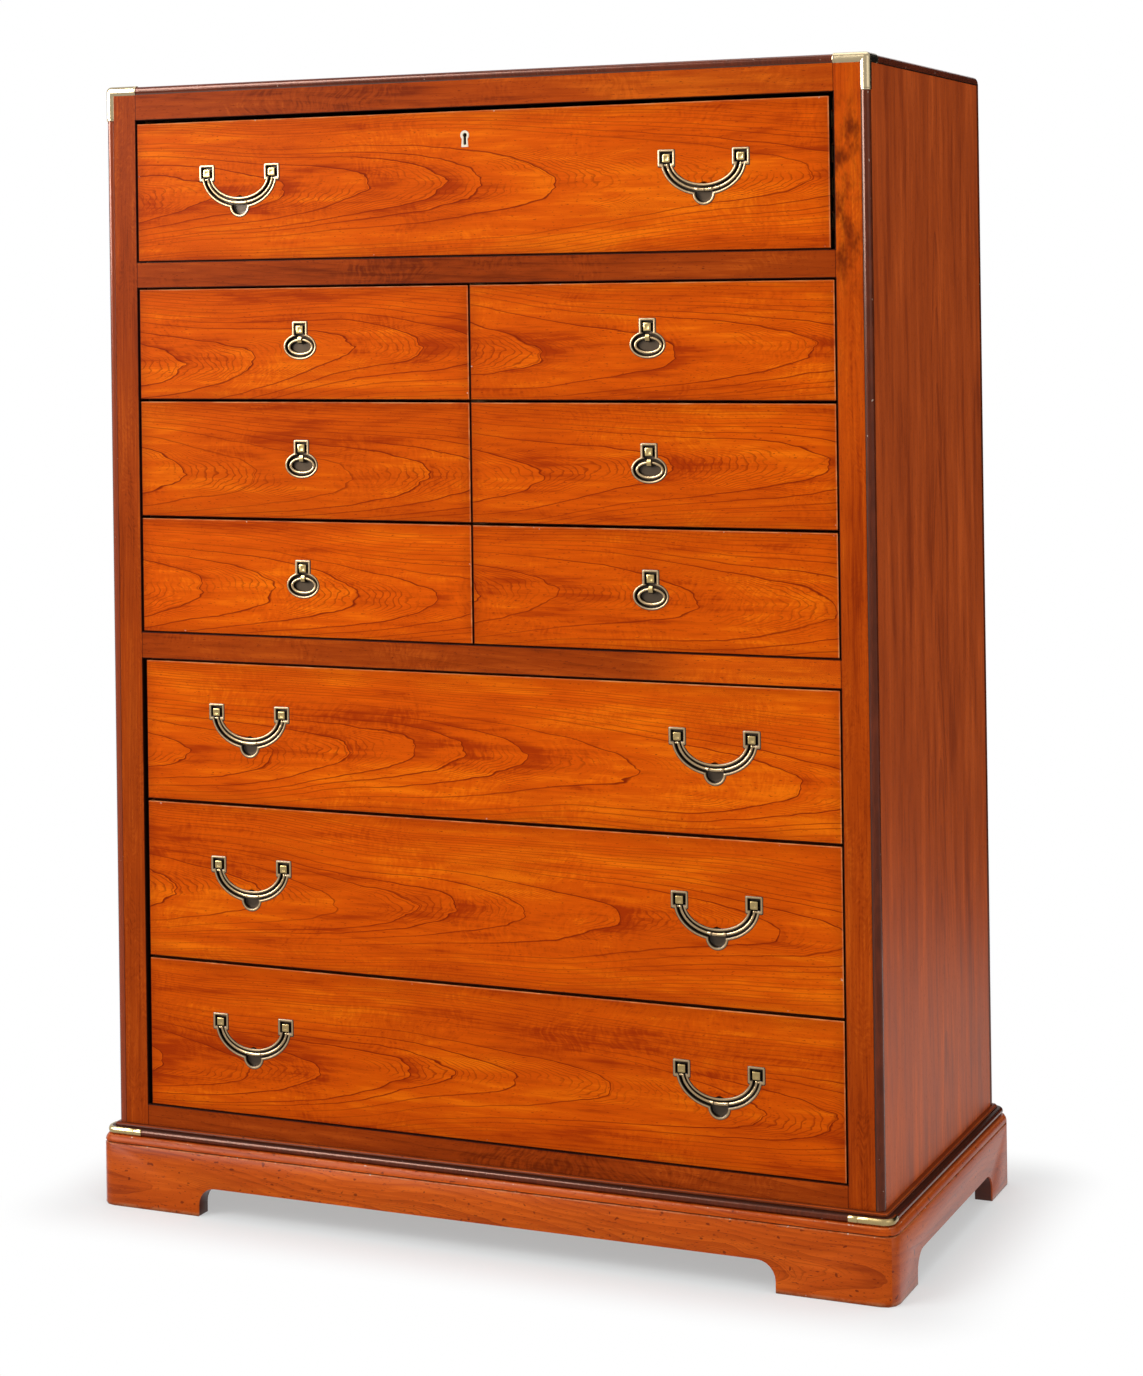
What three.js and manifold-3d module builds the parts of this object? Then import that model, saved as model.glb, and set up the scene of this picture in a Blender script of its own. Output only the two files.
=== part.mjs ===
// Campaign chest of drawers: one long top drawer with a lock, three rows of two small drawers and
// three long drawers, in a cherry case with a dark edge bead, on a plinth with bracket feet.
// Millimetres, +Z up, +X to the viewer's right, front towards -Y, origin at the middle of the base.
import * as THREE from "three";
import { mergeVertices } from "three/addons/utils/BufferGeometryUtils.js";
import Module from "manifold-3d";

const wasm = await Module();
wasm.setup();

// Case
const caseWidth = 973;
const caseDepth = 448;
const boardThickness = 19;
const backBoards = 5;
const backGroove = 1.6;
const bottomThickness = 12;
const bottomLift = 5;
const frameDepth = 22;
const stileWidth = 31.5;
const beadSize = 9;
const beadRadius = 5.5;
const beadProud = 0.8;
const rearCornerRadius = 10;
const seat = 0.3;
const overrun = 5;
const weld = 1;
const mergeTolerance = 1e-4;

// Heights of the front, from the plinth up
const plinthHeight = 76;
const mouldingHeight = 21.5;
const bottomRailHeight = 25.25;
const longRowHeights = [181, 191, 171];
const middleRailHeight = 32.25;
const smallRowHeights = [140.5, 142, 136];
const upperRailHeight = 31.5;
const topRowHeight = 172.75;
const topRailHeight = 31.5;

// Plinth and base moulding
const baseOverhang = 17.8;
const baseCornerRadius = 18;
const plinthThickness = 22;
const plinthEdge = 1.5;
const archHeight = 35;
const archHalfWidth = 366.5;
const archCornerRadius = 22;
const sideArchFront = 66;
const sideArchRear = 378;
const mouldingInset = 22;
const innerCornerRadius = 4;
const filletReach = 5.8;
const filletHeight = 3.3;
const filletRound = 1.8;
const baseBeadRadius = 4.4;
const baseBeadSeat = 5;
const baseBeadReach = 13;
const ovoloHeight = 9.2;
const ovoloTopReach = 14.1;
const mouldingFootReach = 16.3;
const ovoloShoulderShare = 0.3;

// Brass corners
const brassRadius = 6.7;
const brassFrontArm = 41;
const brassDownArm = 40;
const brassSideArm = 32;
const baseBrassProud = 1.1;
const baseBrassFrontArm = 55;
const baseBrassSideArm = 27;

// Drawers
const frontThickness = 20;
const frontRecess = 0.8;
const frontBottomGap = 0.9;
const frontTopGap = 2.1;
const topDrawerTopGap = 4.6;
const frontSidePlay = 7;
const topDrawerShift = -2.2;
const longDrawerShift = 1.5;
const smallSideGap = 2;
const smallMiddleGap = 2.2;
const boxThickness = 10;
const boxBackThickness = 9;
const boxBottomThickness = 6;
const boxBottomLift = 8;
const boxTopDrop = 6;
const boxInset = 1.2;
const boxRearGap = 30;
const backDrop = 10;
const runnerHeight = 10;
const runnerLift = 2;
const runnerShelf = 12;
const guideHeight = 16;
const runningGap = 0.3;
const sideGap = 1.5;
const partitionThickness = 18;
const dustThickness = 12;
const dovetails = 4;
const dovetailDepth = 13;
const dovetailRootShare = 0.42;
const dovetailTipShare = 0.6;

// Bail handles on the long drawers
const bailSpacing = 89;
const bailFromEnd = 145;
const bailShift = -2.5;
const longPullRises = [19, 22, 24.5];
const topPullRise = 19;
const plateThickness = 7.2;
const plateProud = 0.8;
const recessDepth = 5.4;
const postPlateWidth = 20;
const postPlateHeight = 19.5;
const postRecessWidth = 14.6;
const postRecessTop = 7.2;
const postRecessBottom = 5.4;
const postSize = 9.2;
const postProud = 1.5;
const bailStraight = 3;
const bailDrop = 33;
const bandHalfWidth = 6.3;
const channelHalfWidth = 3.9;
const scoopRadius = 13;
const scoopRim = 2.7;
const scoopBelowBail = 4;
const bailRadius = 1.9;
const bailCollarRadius = 2.5;
const bailCollarLength = 18;
const bailPinRadius = 1.55;
const bailPinDrop = 7.6;
const bailPinBite = 1.6;
const socketRadius = 1.95;
const handleDepth = 2;
const pocketGap = 0.3;

// Ring pulls on the small drawers
const smallPullRises = [12.5, 14, 16];
const ringPlateWidth = 20;
const ringPlateHeight = 19.4;
const ringRecessWidth = 14;
const ringRecessTop = 6.8;
const ringRecessBottom = 6.4;
const ringPostSize = 9.4;
const dishHalfWidth = 21.5;
const dishHalfHeight = 15.3;
const dishRim = 2.6;
const dishDrop = 20.1;
const neckHalfWidth = 4.4;
const ringHalfWidth = 15.6;
const ringHalfHeight = 8.6;
const ringWireRadius = 1.6;
const ringPivotDrop = 12.1;
const lugWidth = 6.2;
const lugTop = 5.6;
const lugBottom = 15.6;
const lugHoleRadius = 2.1;
const lugProud = 1.2;

// Lock of the top drawer
const keyholeFromTop = 32;
const escutcheonHeight = 19.2;
const escutcheonBaseWidth = 8.8;
const escutcheonNeckWidth = 7.2;
const escutcheonHeadRadius = 5.5;
const escutcheonThickness = 2.2;
const escutcheonProud = 0.2;
const keyHoleRadius = 2.7;
const keySlotWidth = 3.6;
const keySlotLift = 2.6;
const lockWidth = 52;
const lockHeight = 43;
const lockThickness = 9;
const boltWidth = 14;
const boltThickness = 5.6;
const boltLength = 18;
const boltTravel = 12;
const boltBackWall = 1.6;
const boltGap = 0.5;

// Places worked out from the sizes
const halfWidth = caseWidth / 2;
const front = -caseDepth / 2;
const rear = caseDepth / 2;
const caseBottom = plinthHeight + mouldingHeight;
const stileOuter = halfWidth - beadSize;
const openingHalf = stileOuter - stileWidth;
const sideInner = halfWidth - boardThickness;
const frameBack = front + frameDepth;
const faceOfFronts = front + frontRecess;
const backOfFronts = faceOfFronts + frontThickness;
const boxRear = rear - boxRearGap;
const backFace = rear - beadSize;

// Each row of drawers, with the rise of its pulls above the middle of the row
const rows = [];
let level = caseBottom + bottomRailHeight;
for (const [i, height] of longRowHeights.entries()) {
  rows.push({ kind: "long", bottom: level, top: level + height, rise: longPullRises[i] });
  level += height;
}
const middleRailBottom = level;
level += middleRailHeight;
const middleRailTop = level;
for (const [i, height] of smallRowHeights.entries()) {
  rows.push({ kind: "small", bottom: level, top: level + height, rise: smallPullRises[i] });
  level += height;
}
const upperRailBottom = level;
level += upperRailHeight;
const upperRailTop = level;
rows.push({ kind: "top", bottom: level, top: level + topRowHeight, rise: topPullRise });
const topRailBottom = level + topRowHeight;
const frameTop = topRailBottom + topRailHeight;
const caseTop = frameTop + beadSize;

// Finishes
const finish = (color, roughness, metalness) => ({ color, roughness, metalness });
const cherry = finish(0xc8561a, 0.32, 0);
const darkCherry = finish(0x8c3b16, 0.35, 0);
const blackWood = finish(0x2c1712, 0.25, 0);
const innerWood = finish(0xb98a5a, 0.6, 0);
const brass = finish(0xc2a565, 0.3, 0.9);
const bone = finish(0xe8dcc0, 0.4, 0);
const iron = finish(0x6b665e, 0.5, 0.8);

const group = new THREE.Group();

function addMesh(name, solid, look) {
  const mesh = new THREE.Mesh(toGeometry(solid), new THREE.MeshStandardMaterial(look));
  mesh.name = name;
  group.add(mesh);
  return mesh;
}

// A closed three.js geometry as a solid, and back.
function toSolid(geometry) {
  geometry.deleteAttribute("normal");
  geometry.deleteAttribute("uv");
  const merged = mergeVertices(geometry, mergeTolerance);
  const vertProperties = merged.attributes.position.array;
  const triVerts = new Uint32Array(merged.index.array);
  return new wasm.Manifold(new wasm.Mesh({ numProp: 3, vertProperties, triVerts }));
}

function toGeometry(solid) {
  const mesh = solid.getMesh();
  const geometry = new THREE.BufferGeometry();
  geometry.setAttribute("position", new THREE.BufferAttribute(mesh.vertProperties, 3));
  geometry.setIndex(new THREE.BufferAttribute(mesh.triVerts, 1));
  const loose = geometry.toNonIndexed();
  loose.computeVertexNormals();
  return loose;
}

function joined(solids) {
  return solids.reduce((sum, next) => sum.add(next));
}

function box(x0, x1, y0, y1, z0, z1) {
  const geometry = new THREE.BoxGeometry(x1 - x0, y1 - y0, z1 - z0);
  geometry.translate((x0 + x1) / 2, (y0 + y1) / 2, (z0 + z1) / 2);
  return toSolid(geometry);
}

function outline(points) {
  return new THREE.Shape(points.map(([a, b]) => new THREE.Vector2(a, b)));
}

function extruded(shape, depth, segments) {
  const settings = { depth, bevelEnabled: false, curveSegments: segments };
  return new THREE.ExtrudeGeometry(shape, settings);
}

// An outline in X and Z, extruded from y0 back to y1.
function extrudeY(shape, y0, y1, segments) {
  const geometry = extruded(shape, y1 - y0, segments);
  geometry.rotateX(Math.PI / 2);
  geometry.translate(0, y1, 0);
  return toSolid(geometry);
}

// An outline in Y and Z, extruded from x0 to x1.
function extrudeX(shape, x0, x1, segments) {
  const geometry = extruded(shape, x1 - x0, segments);
  const turn = new THREE.Matrix4().makeBasis(
    new THREE.Vector3(0, 1, 0),
    new THREE.Vector3(0, 0, 1),
    new THREE.Vector3(1, 0, 0),
  );
  geometry.applyMatrix4(turn);
  geometry.translate(x0, 0, 0);
  return toSolid(geometry);
}

// An outline in X and Y, extruded from z0 up to z1.
function extrudeZ(shape, z0, z1, segments) {
  const geometry = extruded(shape, z1 - z0, segments);
  geometry.translate(0, 0, z0);
  return toSolid(geometry);
}

function rod(radius, sides, length, axis) {
  const geometry = new THREE.CylinderGeometry(radius, radius, length, sides);
  if (axis === "x") geometry.rotateZ(Math.PI / 2);
  if (axis === "z") geometry.rotateX(Math.PI / 2);
  return geometry;
}

function rodAt(radius, sides, length, axis, x, y, z) {
  const geometry = rod(radius, sides, length, axis);
  geometry.translate(x, y, z);
  return toSolid(geometry);
}

// A closed surface through a ring of loops that all have the same number of points.
function loopSolid(loops) {
  const count = loops.length;
  const sides = loops[0].length;
  const positions = loops.flat().flatMap((p) => [p.x, p.y, p.z]);
  const index = [];
  for (let i = 0; i < count; i++) {
    const next = (i + 1) % count;
    for (let j = 0; j < sides; j++) {
      const turn = (j + 1) % sides;
      const a = i * sides + j;
      const b = next * sides + j;
      const c = next * sides + turn;
      const d = i * sides + turn;
      index.push(a, c, b, a, d, c);
    }
  }
  const geometry = new THREE.BufferGeometry();
  geometry.setAttribute("position", new THREE.Float32BufferAttribute(positions, 3));
  geometry.setIndex(index);
  return toSolid(geometry);
}

// The case's outline in plan, moved outwards by reach, with round corners.
function planLoop(reach, z, cornerRadius) {
  const steps = 3;
  const x = halfWidth + reach - cornerRadius;
  const y = rear + reach - cornerRadius;
  const corners = [
    [x, y],
    [-x, y],
    [-x, -y],
    [x, -y],
  ];
  return corners.flatMap(([cx, cy], corner) =>
    Array.from({ length: steps + 1 }, (unused, step) => {
      const angle = ((corner + step / steps) * Math.PI) / 2;
      const dx = cornerRadius * Math.cos(angle);
      const dy = cornerRadius * Math.sin(angle);
      return new THREE.Vector3(cx + dx, cy + dy, z);
    }),
  );
}

// A section of reach and height, run round the base. Its points go anticlockwise.
function runRound(section) {
  const loops = section.map(([reach, z]) => {
    const radius = Math.max(baseCornerRadius - baseOverhang + reach, innerCornerRadius);
    return planLoop(reach, z, radius);
  });
  return loopSolid(loops);
}

function arcPoints(cx, cy, radius, from, to, steps) {
  return Array.from({ length: steps + 1 }, (unused, i) => {
    const angle = from + ((to - from) * i) / steps;
    return [cx + radius * Math.cos(angle), cy + radius * Math.sin(angle)];
  });
}

// Plinth
function archShape(left, right) {
  const shape = new THREE.Shape();
  const r = archCornerRadius;
  shape.moveTo(left, -overrun);
  shape.lineTo(right, -overrun);
  shape.lineTo(right, archHeight - r);
  shape.absarc(right - r, archHeight - r, r, 0, Math.PI / 2, false);
  shape.absarc(left + r, archHeight - r, r, Math.PI / 2, Math.PI, false);
  return shape;
}

function plinth() {
  const inner = baseOverhang - plinthThickness;
  const board = runRound([
    [inner, 0],
    [baseOverhang - plinthEdge / 2, 0],
    [baseOverhang, plinthEdge / 2],
    [baseOverhang, plinthHeight - plinthEdge],
    [baseOverhang - plinthEdge, plinthHeight],
    [inner, plinthHeight],
  ]);
  const past = baseOverhang + overrun;
  const faces = archShape(-archHalfWidth, archHalfWidth);
  const sides = archShape(front + sideArchFront, front + sideArchRear);
  const across = extrudeY(faces, front - past, rear + past, 3);
  const along = extrudeX(sides, -halfWidth - past, halfWidth + past, 3);
  return board.subtract(across).subtract(along);
}

// Base moulding, from the plinth up: ovolo, seat of the dark bead, fillet
function baseMoulding() {
  const beadBottom = plinthHeight + ovoloHeight;
  const beadTop = caseBottom - filletHeight;
  const ovoloRound = mouldingFootReach + plinthEdge - ovoloTopReach;
  const section = [
    [-mouldingInset, plinthHeight],
    [mouldingFootReach, plinthHeight],
    [baseOverhang, plinthHeight + plinthEdge],
    [baseOverhang, beadBottom - 2 * ovoloRound],
    [baseOverhang - ovoloShoulderShare * ovoloRound, beadBottom - ovoloRound],
    [ovoloTopReach, beadBottom],
    [baseBeadSeat, beadBottom],
    [baseBeadSeat, beadTop],
    [filletReach, beadTop],
    [filletReach, caseBottom - filletRound],
    [filletReach - filletRound, caseBottom],
    [-mouldingInset, caseBottom],
  ];
  return runRound(section);
}

const baseBeadMiddle = (plinthHeight + ovoloHeight + caseBottom - filletHeight) / 2;

function baseBeadSection(radius, inner) {
  const centre = baseBeadReach - baseBeadRadius;
  const nose = arcPoints(centre, baseBeadMiddle, radius, -Math.PI / 2, Math.PI / 2, 5);
  return [[inner, baseBeadMiddle - radius], ...nose, [inner, baseBeadMiddle + radius]];
}

function baseBead() {
  return runRound(baseBeadSection(baseBeadRadius - seat, baseBeadSeat + seat));
}

// A brass sleeve over the base bead at one front corner, side -1 or 1
function baseCorner(side) {
  const outerSection = baseBeadSection(baseBeadRadius + baseBrassProud, filletReach + seat);
  const outer = runRound(outerSection);
  const inner = runRound(baseBeadSection(baseBeadRadius, baseBeadSeat - seat));
  const x0 = side * (halfWidth + baseOverhang - baseBrassFrontArm);
  const x1 = side * (halfWidth + baseOverhang + overrun);
  const y0 = front - baseOverhang - overrun;
  const y1 = front - baseOverhang + baseBrassSideArm;
  const corner = box(Math.min(x0, x1), Math.max(x0, x1), y0, y1, plinthHeight, caseBottom);
  const beadTop = caseBottom - filletHeight - seat;
  const beadBottom = plinthHeight + ovoloHeight + seat;
  const past = halfWidth + baseOverhang + overrun;
  const band = box(-past, past, -past, past, beadBottom, beadTop);
  return outer.subtract(inner).intersect(corner).intersect(band);
}

// Edge bead: a section in u and v, both outwards from the inner corner of its rebate
const beadCentre = beadSize - beadRadius + beadProud;

function beadOutline(radius, inner) {
  const chord = Math.sqrt(radius ** 2 - (beadSize - beadCentre) ** 2);
  const start = Math.atan2(-chord, beadSize - beadCentre);
  const end = Math.PI / 2 - start;
  const nose = arcPoints(beadCentre, beadCentre, radius, start, end, 5);
  return [[inner, inner], [beadSize, inner], ...nose, [inner, beadSize]];
}

function flipped(points) {
  return points.map(([u, v]) => [-u, v]).reverse();
}

function moved(points, du, dv) {
  return points.map(([u, v]) => [u + du, v + dv]);
}

function edgeBead() {
  const section = beadOutline(beadRadius, seat);
  const towardsFront = section.map(([u, v]) => [u, -v]).reverse();
  const right = moved(towardsFront, stileOuter, front + beadSize);
  const left = flipped(right);
  const frontTop = moved(flipped(section), front + beadSize, frameTop);
  const sideTop = moved(section, stileOuter, frameTop);
  const rearEdge = moved(section, stileOuter, rear - beadSize);
  const arcCentre = rear - rearCornerRadius;
  const rearTop = caseTop - rearCornerRadius;
  const corner = beadSize - beadCentre;
  const z = caseTop - corner;
  const parts = [
    extrudeZ(outline(right), caseBottom, z, 1),
    extrudeZ(outline(left), caseBottom, z, 1),
    extrudeX(outline(frontTop), -halfWidth + corner, halfWidth - corner, 1),
    extrudeY(outline(sideTop), front + corner, arcCentre, 1),
    extrudeY(outline(flipped(sideTop)), front + corner, arcCentre, 1),
    quarterTurn(sideTop),
    quarterTurn(flipped(sideTop)),
    extrudeZ(outline(rearEdge), caseBottom, rearTop, 1),
    extrudeZ(outline(flipped(rearEdge)), caseBottom, rearTop, 1),
  ];
  return joined(parts);
}

function ball(radius, x, y, z) {
  const geometry = new THREE.SphereGeometry(radius, 12, 6);
  geometry.translate(x, y, z);
  return toSolid(geometry);
}

// A section in X and Z, turned down round the rear top corner of the case.
function quarterTurn(points) {
  const axisZ = caseTop - rearCornerRadius;
  const axisY = rear - rearCornerRadius;
  const steps = 6;
  const section = points.map(([x, z]) => [x, z - axisZ]);
  const rings = Array.from({ length: steps + 1 }, (unused, i) => {
    const angle = (Math.PI / 2) * (i / steps);
    return section.map(([x, reach]) => {
      const dy = reach * Math.sin(angle);
      const dz = reach * Math.cos(angle);
      return new THREE.Vector3(x, axisY + dy, axisZ + dz);
    });
  });
  return cappedSolid(rings);
}

// A closed surface along loops of points, with flat caps on the first and last loop.
function cappedSolid(loops) {
  const sides = loops[0].length;
  const flat = loops[0].map((p) => new THREE.Vector2(p.x, p.z));
  const cap = THREE.ShapeUtils.triangulateShape(flat, []);
  const positions = loops.flat().flatMap((p) => [p.x, p.y, p.z]);
  const index = [];
  const last = (loops.length - 1) * sides;
  for (const [a, b, c] of cap) {
    index.push(a, b, c);
    index.push(last + c, last + b, last + a);
  }
  for (let i = 0; i < loops.length - 1; i++) {
    for (let j = 0; j < sides; j++) {
      const turn = (j + 1) % sides;
      const a = i * sides + j;
      const b = a + sides;
      const c = (i + 1) * sides + turn;
      const d = i * sides + turn;
      index.push(a, c, d, a, b, c);
    }
  }
  const geometry = new THREE.BufferGeometry();
  geometry.setAttribute("position", new THREE.Float32BufferAttribute(positions, 3));
  geometry.setIndex(index);
  return toSolid(geometry);
}

// The rounded outline of the case seen from the side, as a cutter for its top
function sideOutline() {
  const shape = new THREE.Shape();
  const r = rearCornerRadius;
  shape.moveTo(front - overrun, caseBottom);
  shape.lineTo(rear, caseBottom);
  shape.absarc(rear - r, caseTop - r, r, 0, Math.PI / 2, false);
  shape.lineTo(front - overrun, caseTop);
  return shape;
}

// Brass corner over the edge bead at the top, side -1 or 1
function topCorner(side) {
  const corner = beadSize - beadCentre;
  const x = side * (halfWidth - corner);
  const y = front + corner;
  const z = caseTop - corner;
  const arms = (radius, spare) => {
    const across = brassFrontArm - corner + spare;
    const down = brassDownArm - corner + spare;
    const back = brassSideArm - corner + spare;
    const sides = 12;
    return joined([
      ball(radius, x, y, z),
      rodAt(radius, sides, across, "x", x - (side * across) / 2, y, z),
      rodAt(radius, sides, down, "z", x, y, z - down / 2),
      rodAt(radius, sides, back, "y", x, y + back / 2, z),
    ]);
  };
  const [low, high] = [Math.min(x, x + side * brassRadius), Math.max(x, x + side * brassRadius)];
  const half = halfWidth + seat;
  const deep = front - brassRadius;
  const above = caseTop + brassRadius;
  const body = box(-half, half, front - seat, rear, caseBottom, caseTop + seat)
    .subtract(box(-half - overrun, half + overrun, deep, y, z, above))
    .subtract(box(low, high, deep, rear + overrun, z, above))
    .subtract(box(low, high, deep, y, caseBottom - overrun, above));
  return arms(brassRadius, 0).subtract(arms(beadRadius + seat, overrun)).subtract(body);
}

// Case sides, with the drawer runners
function runnerBottom(row) {
  return row.bottom + runnerLift;
}

function sidePanel(side) {
  const outerEdge = stileOuter + seat;
  const [y0, y1] = [front + beadSize + seat, backFace - seat];
  const plan = [
    [outerEdge, y0],
    [halfWidth, y0],
    [halfWidth, y1],
    [sideInner, y1],
    [sideInner, frameBack + seat],
    [outerEdge, frameBack + seat],
  ];
  const turned = side > 0 ? plan : flipped(plan);
  const span = (a, b) => [Math.min(side * a, side * b), Math.max(side * a, side * b)];
  const boxFor = (a, b, near, far, z0, z1) => box(...span(a, b), near, far, z0, z1);
  const rebate = boxFor(0, outerEdge, front, rear, caseTop - boardThickness, caseTop);
  const panel = extrudeZ(outline(turned), caseBottom, frameTop - seat, 1).subtract(rebate);
  const runners = rows.flatMap((row) => {
    const z = runnerBottom(row);
    const shelfEnd = openingHalf - runnerShelf;
    const top = z + runnerHeight;
    return [
      boxFor(shelfEnd, sideInner + weld / 2, frameBack + seat, boxRear, z, top),
      boxFor(openingHalf, sideInner + weld / 2, frameBack + seat, boxRear, z, top + guideHeight),
    ];
  });
  return joined([panel, ...runners]);
}

function topPanel() {
  const y0 = front + beadSize + seat;
  const main = box(-stileOuter, stileOuter, frameBack + seat, rear, caseTop - boardThickness, caseTop);
  const tongue = box(-stileOuter, stileOuter, y0, frameBack + weld, frameTop + seat, caseTop);
  return main.add(tongue).intersect(extrudeX(sideOutline(), -halfWidth, halfWidth, 4));
}

function bottomPanel() {
  const half = sideInner - seat;
  const z = caseBottom + bottomLift;
  return box(-half, half, frameBack + seat, backFace - seat, z, z + bottomThickness);
}

function backPanel() {
  const half = stileOuter - seat;
  const width = (2 * half) / backBoards;
  const points = [
    [half, backFace],
    [half, rear],
  ];
  for (let i = 1; i < backBoards; i++) {
    const x = half - i * width;
    points.push([x + backGroove, rear], [x, rear - backGroove], [x - backGroove, rear]);
  }
  points.push([-half, rear], [-half, backFace]);
  return extrudeZ(outline(points), caseBottom, caseTop - boardThickness - seat, 1);
}

// The top rail has a rebate behind its lower edge, which the lock bolt rises into.
function faceFrame() {
  const board = box(-stileOuter, stileOuter, front, frameBack, caseBottom, frameTop);
  const openings = [
    [caseBottom + bottomRailHeight, middleRailBottom],
    [middleRailTop, upperRailBottom],
    [upperRailTop, topRailBottom],
  ];
  const [past, half] = [overrun, openingHalf];
  const cuts = openings.map(([z0, z1]) => box(-half, half, front - past, frameBack + past, z0, z1));
  const [low, high] = [topRailBottom - overrun, topRailBottom + boltTravel - topDrawerTopGap];
  const rebate = box(-half, half, boltFront - boltGap, frameBack + past, low, high);
  return board.subtract(joined(cuts)).subtract(rebate);
}

// Dust boards above and below the small drawers, with the partition between them
function smallDrawerDivider() {
  const half = sideInner - seat;
  const [y0, y1] = [frameBack + seat, backFace - seat];
  const lower = (middleRailBottom + middleRailTop - dustThickness) / 2;
  const upper = (upperRailBottom + upperRailTop - dustThickness) / 2;
  const t = partitionThickness / 2;
  const smallRows = rows.filter((row) => row.kind === "small");
  const shelf = t + sideGap + boxThickness;
  const runners = smallRows.map((row) => {
    const z = runnerBottom(row);
    return box(-shelf, shelf, y0, boxRear, z, z + runnerHeight);
  });
  return joined([
    box(-half, half, y0, y1, lower, lower + dustThickness),
    box(-half, half, y0, y1, upper, upper + dustThickness),
    box(-t, t, y0, y1, lower + dustThickness / 2, upper + dustThickness / 2),
    ...runners,
  ]);
}

// Drawers
function drawerSizes(row, side = 0) {
  const topGap = row.kind === "top" ? topDrawerTopGap : frontTopGap;
  const z0 = row.bottom + frontBottomGap;
  const z1 = row.top - topGap;
  const boxBottom = runnerBottom(row) + runnerHeight + runningGap;
  const boxTop = z1 - boxTopDrop;
  if (row.kind === "small") {
    const [near, far] = [smallMiddleGap / 2, openingHalf - smallSideGap];
    const inner = partitionThickness / 2 + sideGap;
    const outer = openingHalf - sideGap - boxInset;
    const place = (a, b) => (side > 0 ? [a, b] : [-b, -a]);
    const [x0, x1] = place(near, far);
    const [boxX0, boxX1] = place(inner, outer);
    return { x0, x1, z0, z1, boxX0, boxX1, boxBottom, boxTop };
  }
  const shift = row.kind === "top" ? topDrawerShift : longDrawerShift;
  const half = openingHalf - frontSidePlay / 2;
  const [x0, x1] = [shift - half, shift + half];
  return { x0, x1, z0, z1, boxX0: x0 + boxInset, boxX1: x1 - boxInset, boxBottom, boxTop };
}

function drawerFront(s) {
  return box(s.x0, s.x1, faceOfFronts, backOfFronts, s.z0, s.z1);
}

function drawerBox(s, y0) {
  const t = boxThickness;
  const walls = box(s.boxX0, s.boxX1, y0, boxRear, s.boxBottom, s.boxTop);
  const inside = box(
    s.boxX0 + t,
    s.boxX1 - t,
    y0 - overrun,
    boxRear - boxBackThickness,
    s.boxBottom - overrun,
    s.boxTop + overrun,
  );
  const lowBack = box(
    s.boxX0 + t,
    s.boxX1 - t,
    boxRear - boxBackThickness - overrun,
    boxRear + overrun,
    s.boxTop - backDrop,
    s.boxTop + overrun,
  );
  const z = s.boxBottom + boxBottomLift;
  const [bottomRear, lap] = [boxRear - boxBackThickness / 2, t / 2];
  const bottom = box(s.boxX0 + lap, s.boxX1 - lap, y0, bottomRear, z, z + boxBottomThickness);
  return walls.subtract(inside).subtract(lowBack).add(bottom);
}

// The dovetails of a drawer's sides, which widen into the front, grown by a gap on every face
function tails(s, gap) {
  const pitch = (s.boxTop - s.boxBottom) / dovetails;
  const solids = [];
  for (let i = 0; i < dovetails; i++) {
    const z = s.boxBottom + pitch * (i + 1 / 2);
    const root = (pitch * dovetailRootShare) / 2 + gap;
    const tip = (pitch * dovetailTipShare) / 2 + gap;
    const [y0, y1] = [backOfFronts - dovetailDepth - gap, backOfFronts + overrun];
    const slope = (tip - root) / (dovetailDepth + gap);
    const far = root - slope * overrun;
    const points = [
      [y0, z - tip],
      [y1, z - far],
      [y1, z + far],
      [y0, z + tip],
    ];
    const open = gap > 0 ? overrun : 0;
    solids.push(extrudeX(outline(points), s.boxX0 - open, s.boxX0 + boxThickness + gap, 1));
    solids.push(extrudeX(outline(points), s.boxX1 - boxThickness - gap, s.boxX1 + open, 1));
  }
  return joined(solids);
}

// Bail handle. Its outlines are in X and Z from the middle between the posts.
function rectangle(x0, x1, z0, z1) {
  return outline([
    [x0, z0],
    [x1, z0],
    [x1, z1],
    [x0, z1],
  ]);
}

function halfBand(halfWidthOfBand) {
  const a = bailSpacing / 2;
  const shape = new THREE.Shape();
  const w = halfWidthOfBand;
  shape.moveTo(-a - w, 0);
  shape.absellipse(0, -bailStraight, a + w, bailDrop + w, Math.PI, 2 * Math.PI, false, 0);
  shape.lineTo(a + w, 0);
  shape.lineTo(a - w, 0);
  shape.absellipse(0, -bailStraight, a - w, bailDrop - w, 2 * Math.PI, Math.PI, true, 0);
  shape.lineTo(-a + w, 0);
  return shape;
}

function disc(radius, x, z) {
  const shape = new THREE.Shape();
  shape.absarc(x, z, radius, 0, 2 * Math.PI, false);
  return shape;
}

const scoopZ = -bailStraight - bailDrop - scoopBelowBail;

function bailPlateOutline(grow, y0, y1) {
  const a = bailSpacing / 2;
  const [w, h] = [postPlateWidth / 2 + grow, postPlateHeight / 2 + grow];
  return joined([
    extrudeY(halfBand(bandHalfWidth + grow), y0, y1, 5),
    extrudeY(rectangle(-a - w, -a + w, -h, h), y0, y1, 1),
    extrudeY(rectangle(a - w, a + w, -h, h), y0, y1, 1),
    extrudeY(disc(scoopRadius + grow, 0, scoopZ), y0, y1, 4),
  ]);
}

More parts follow.
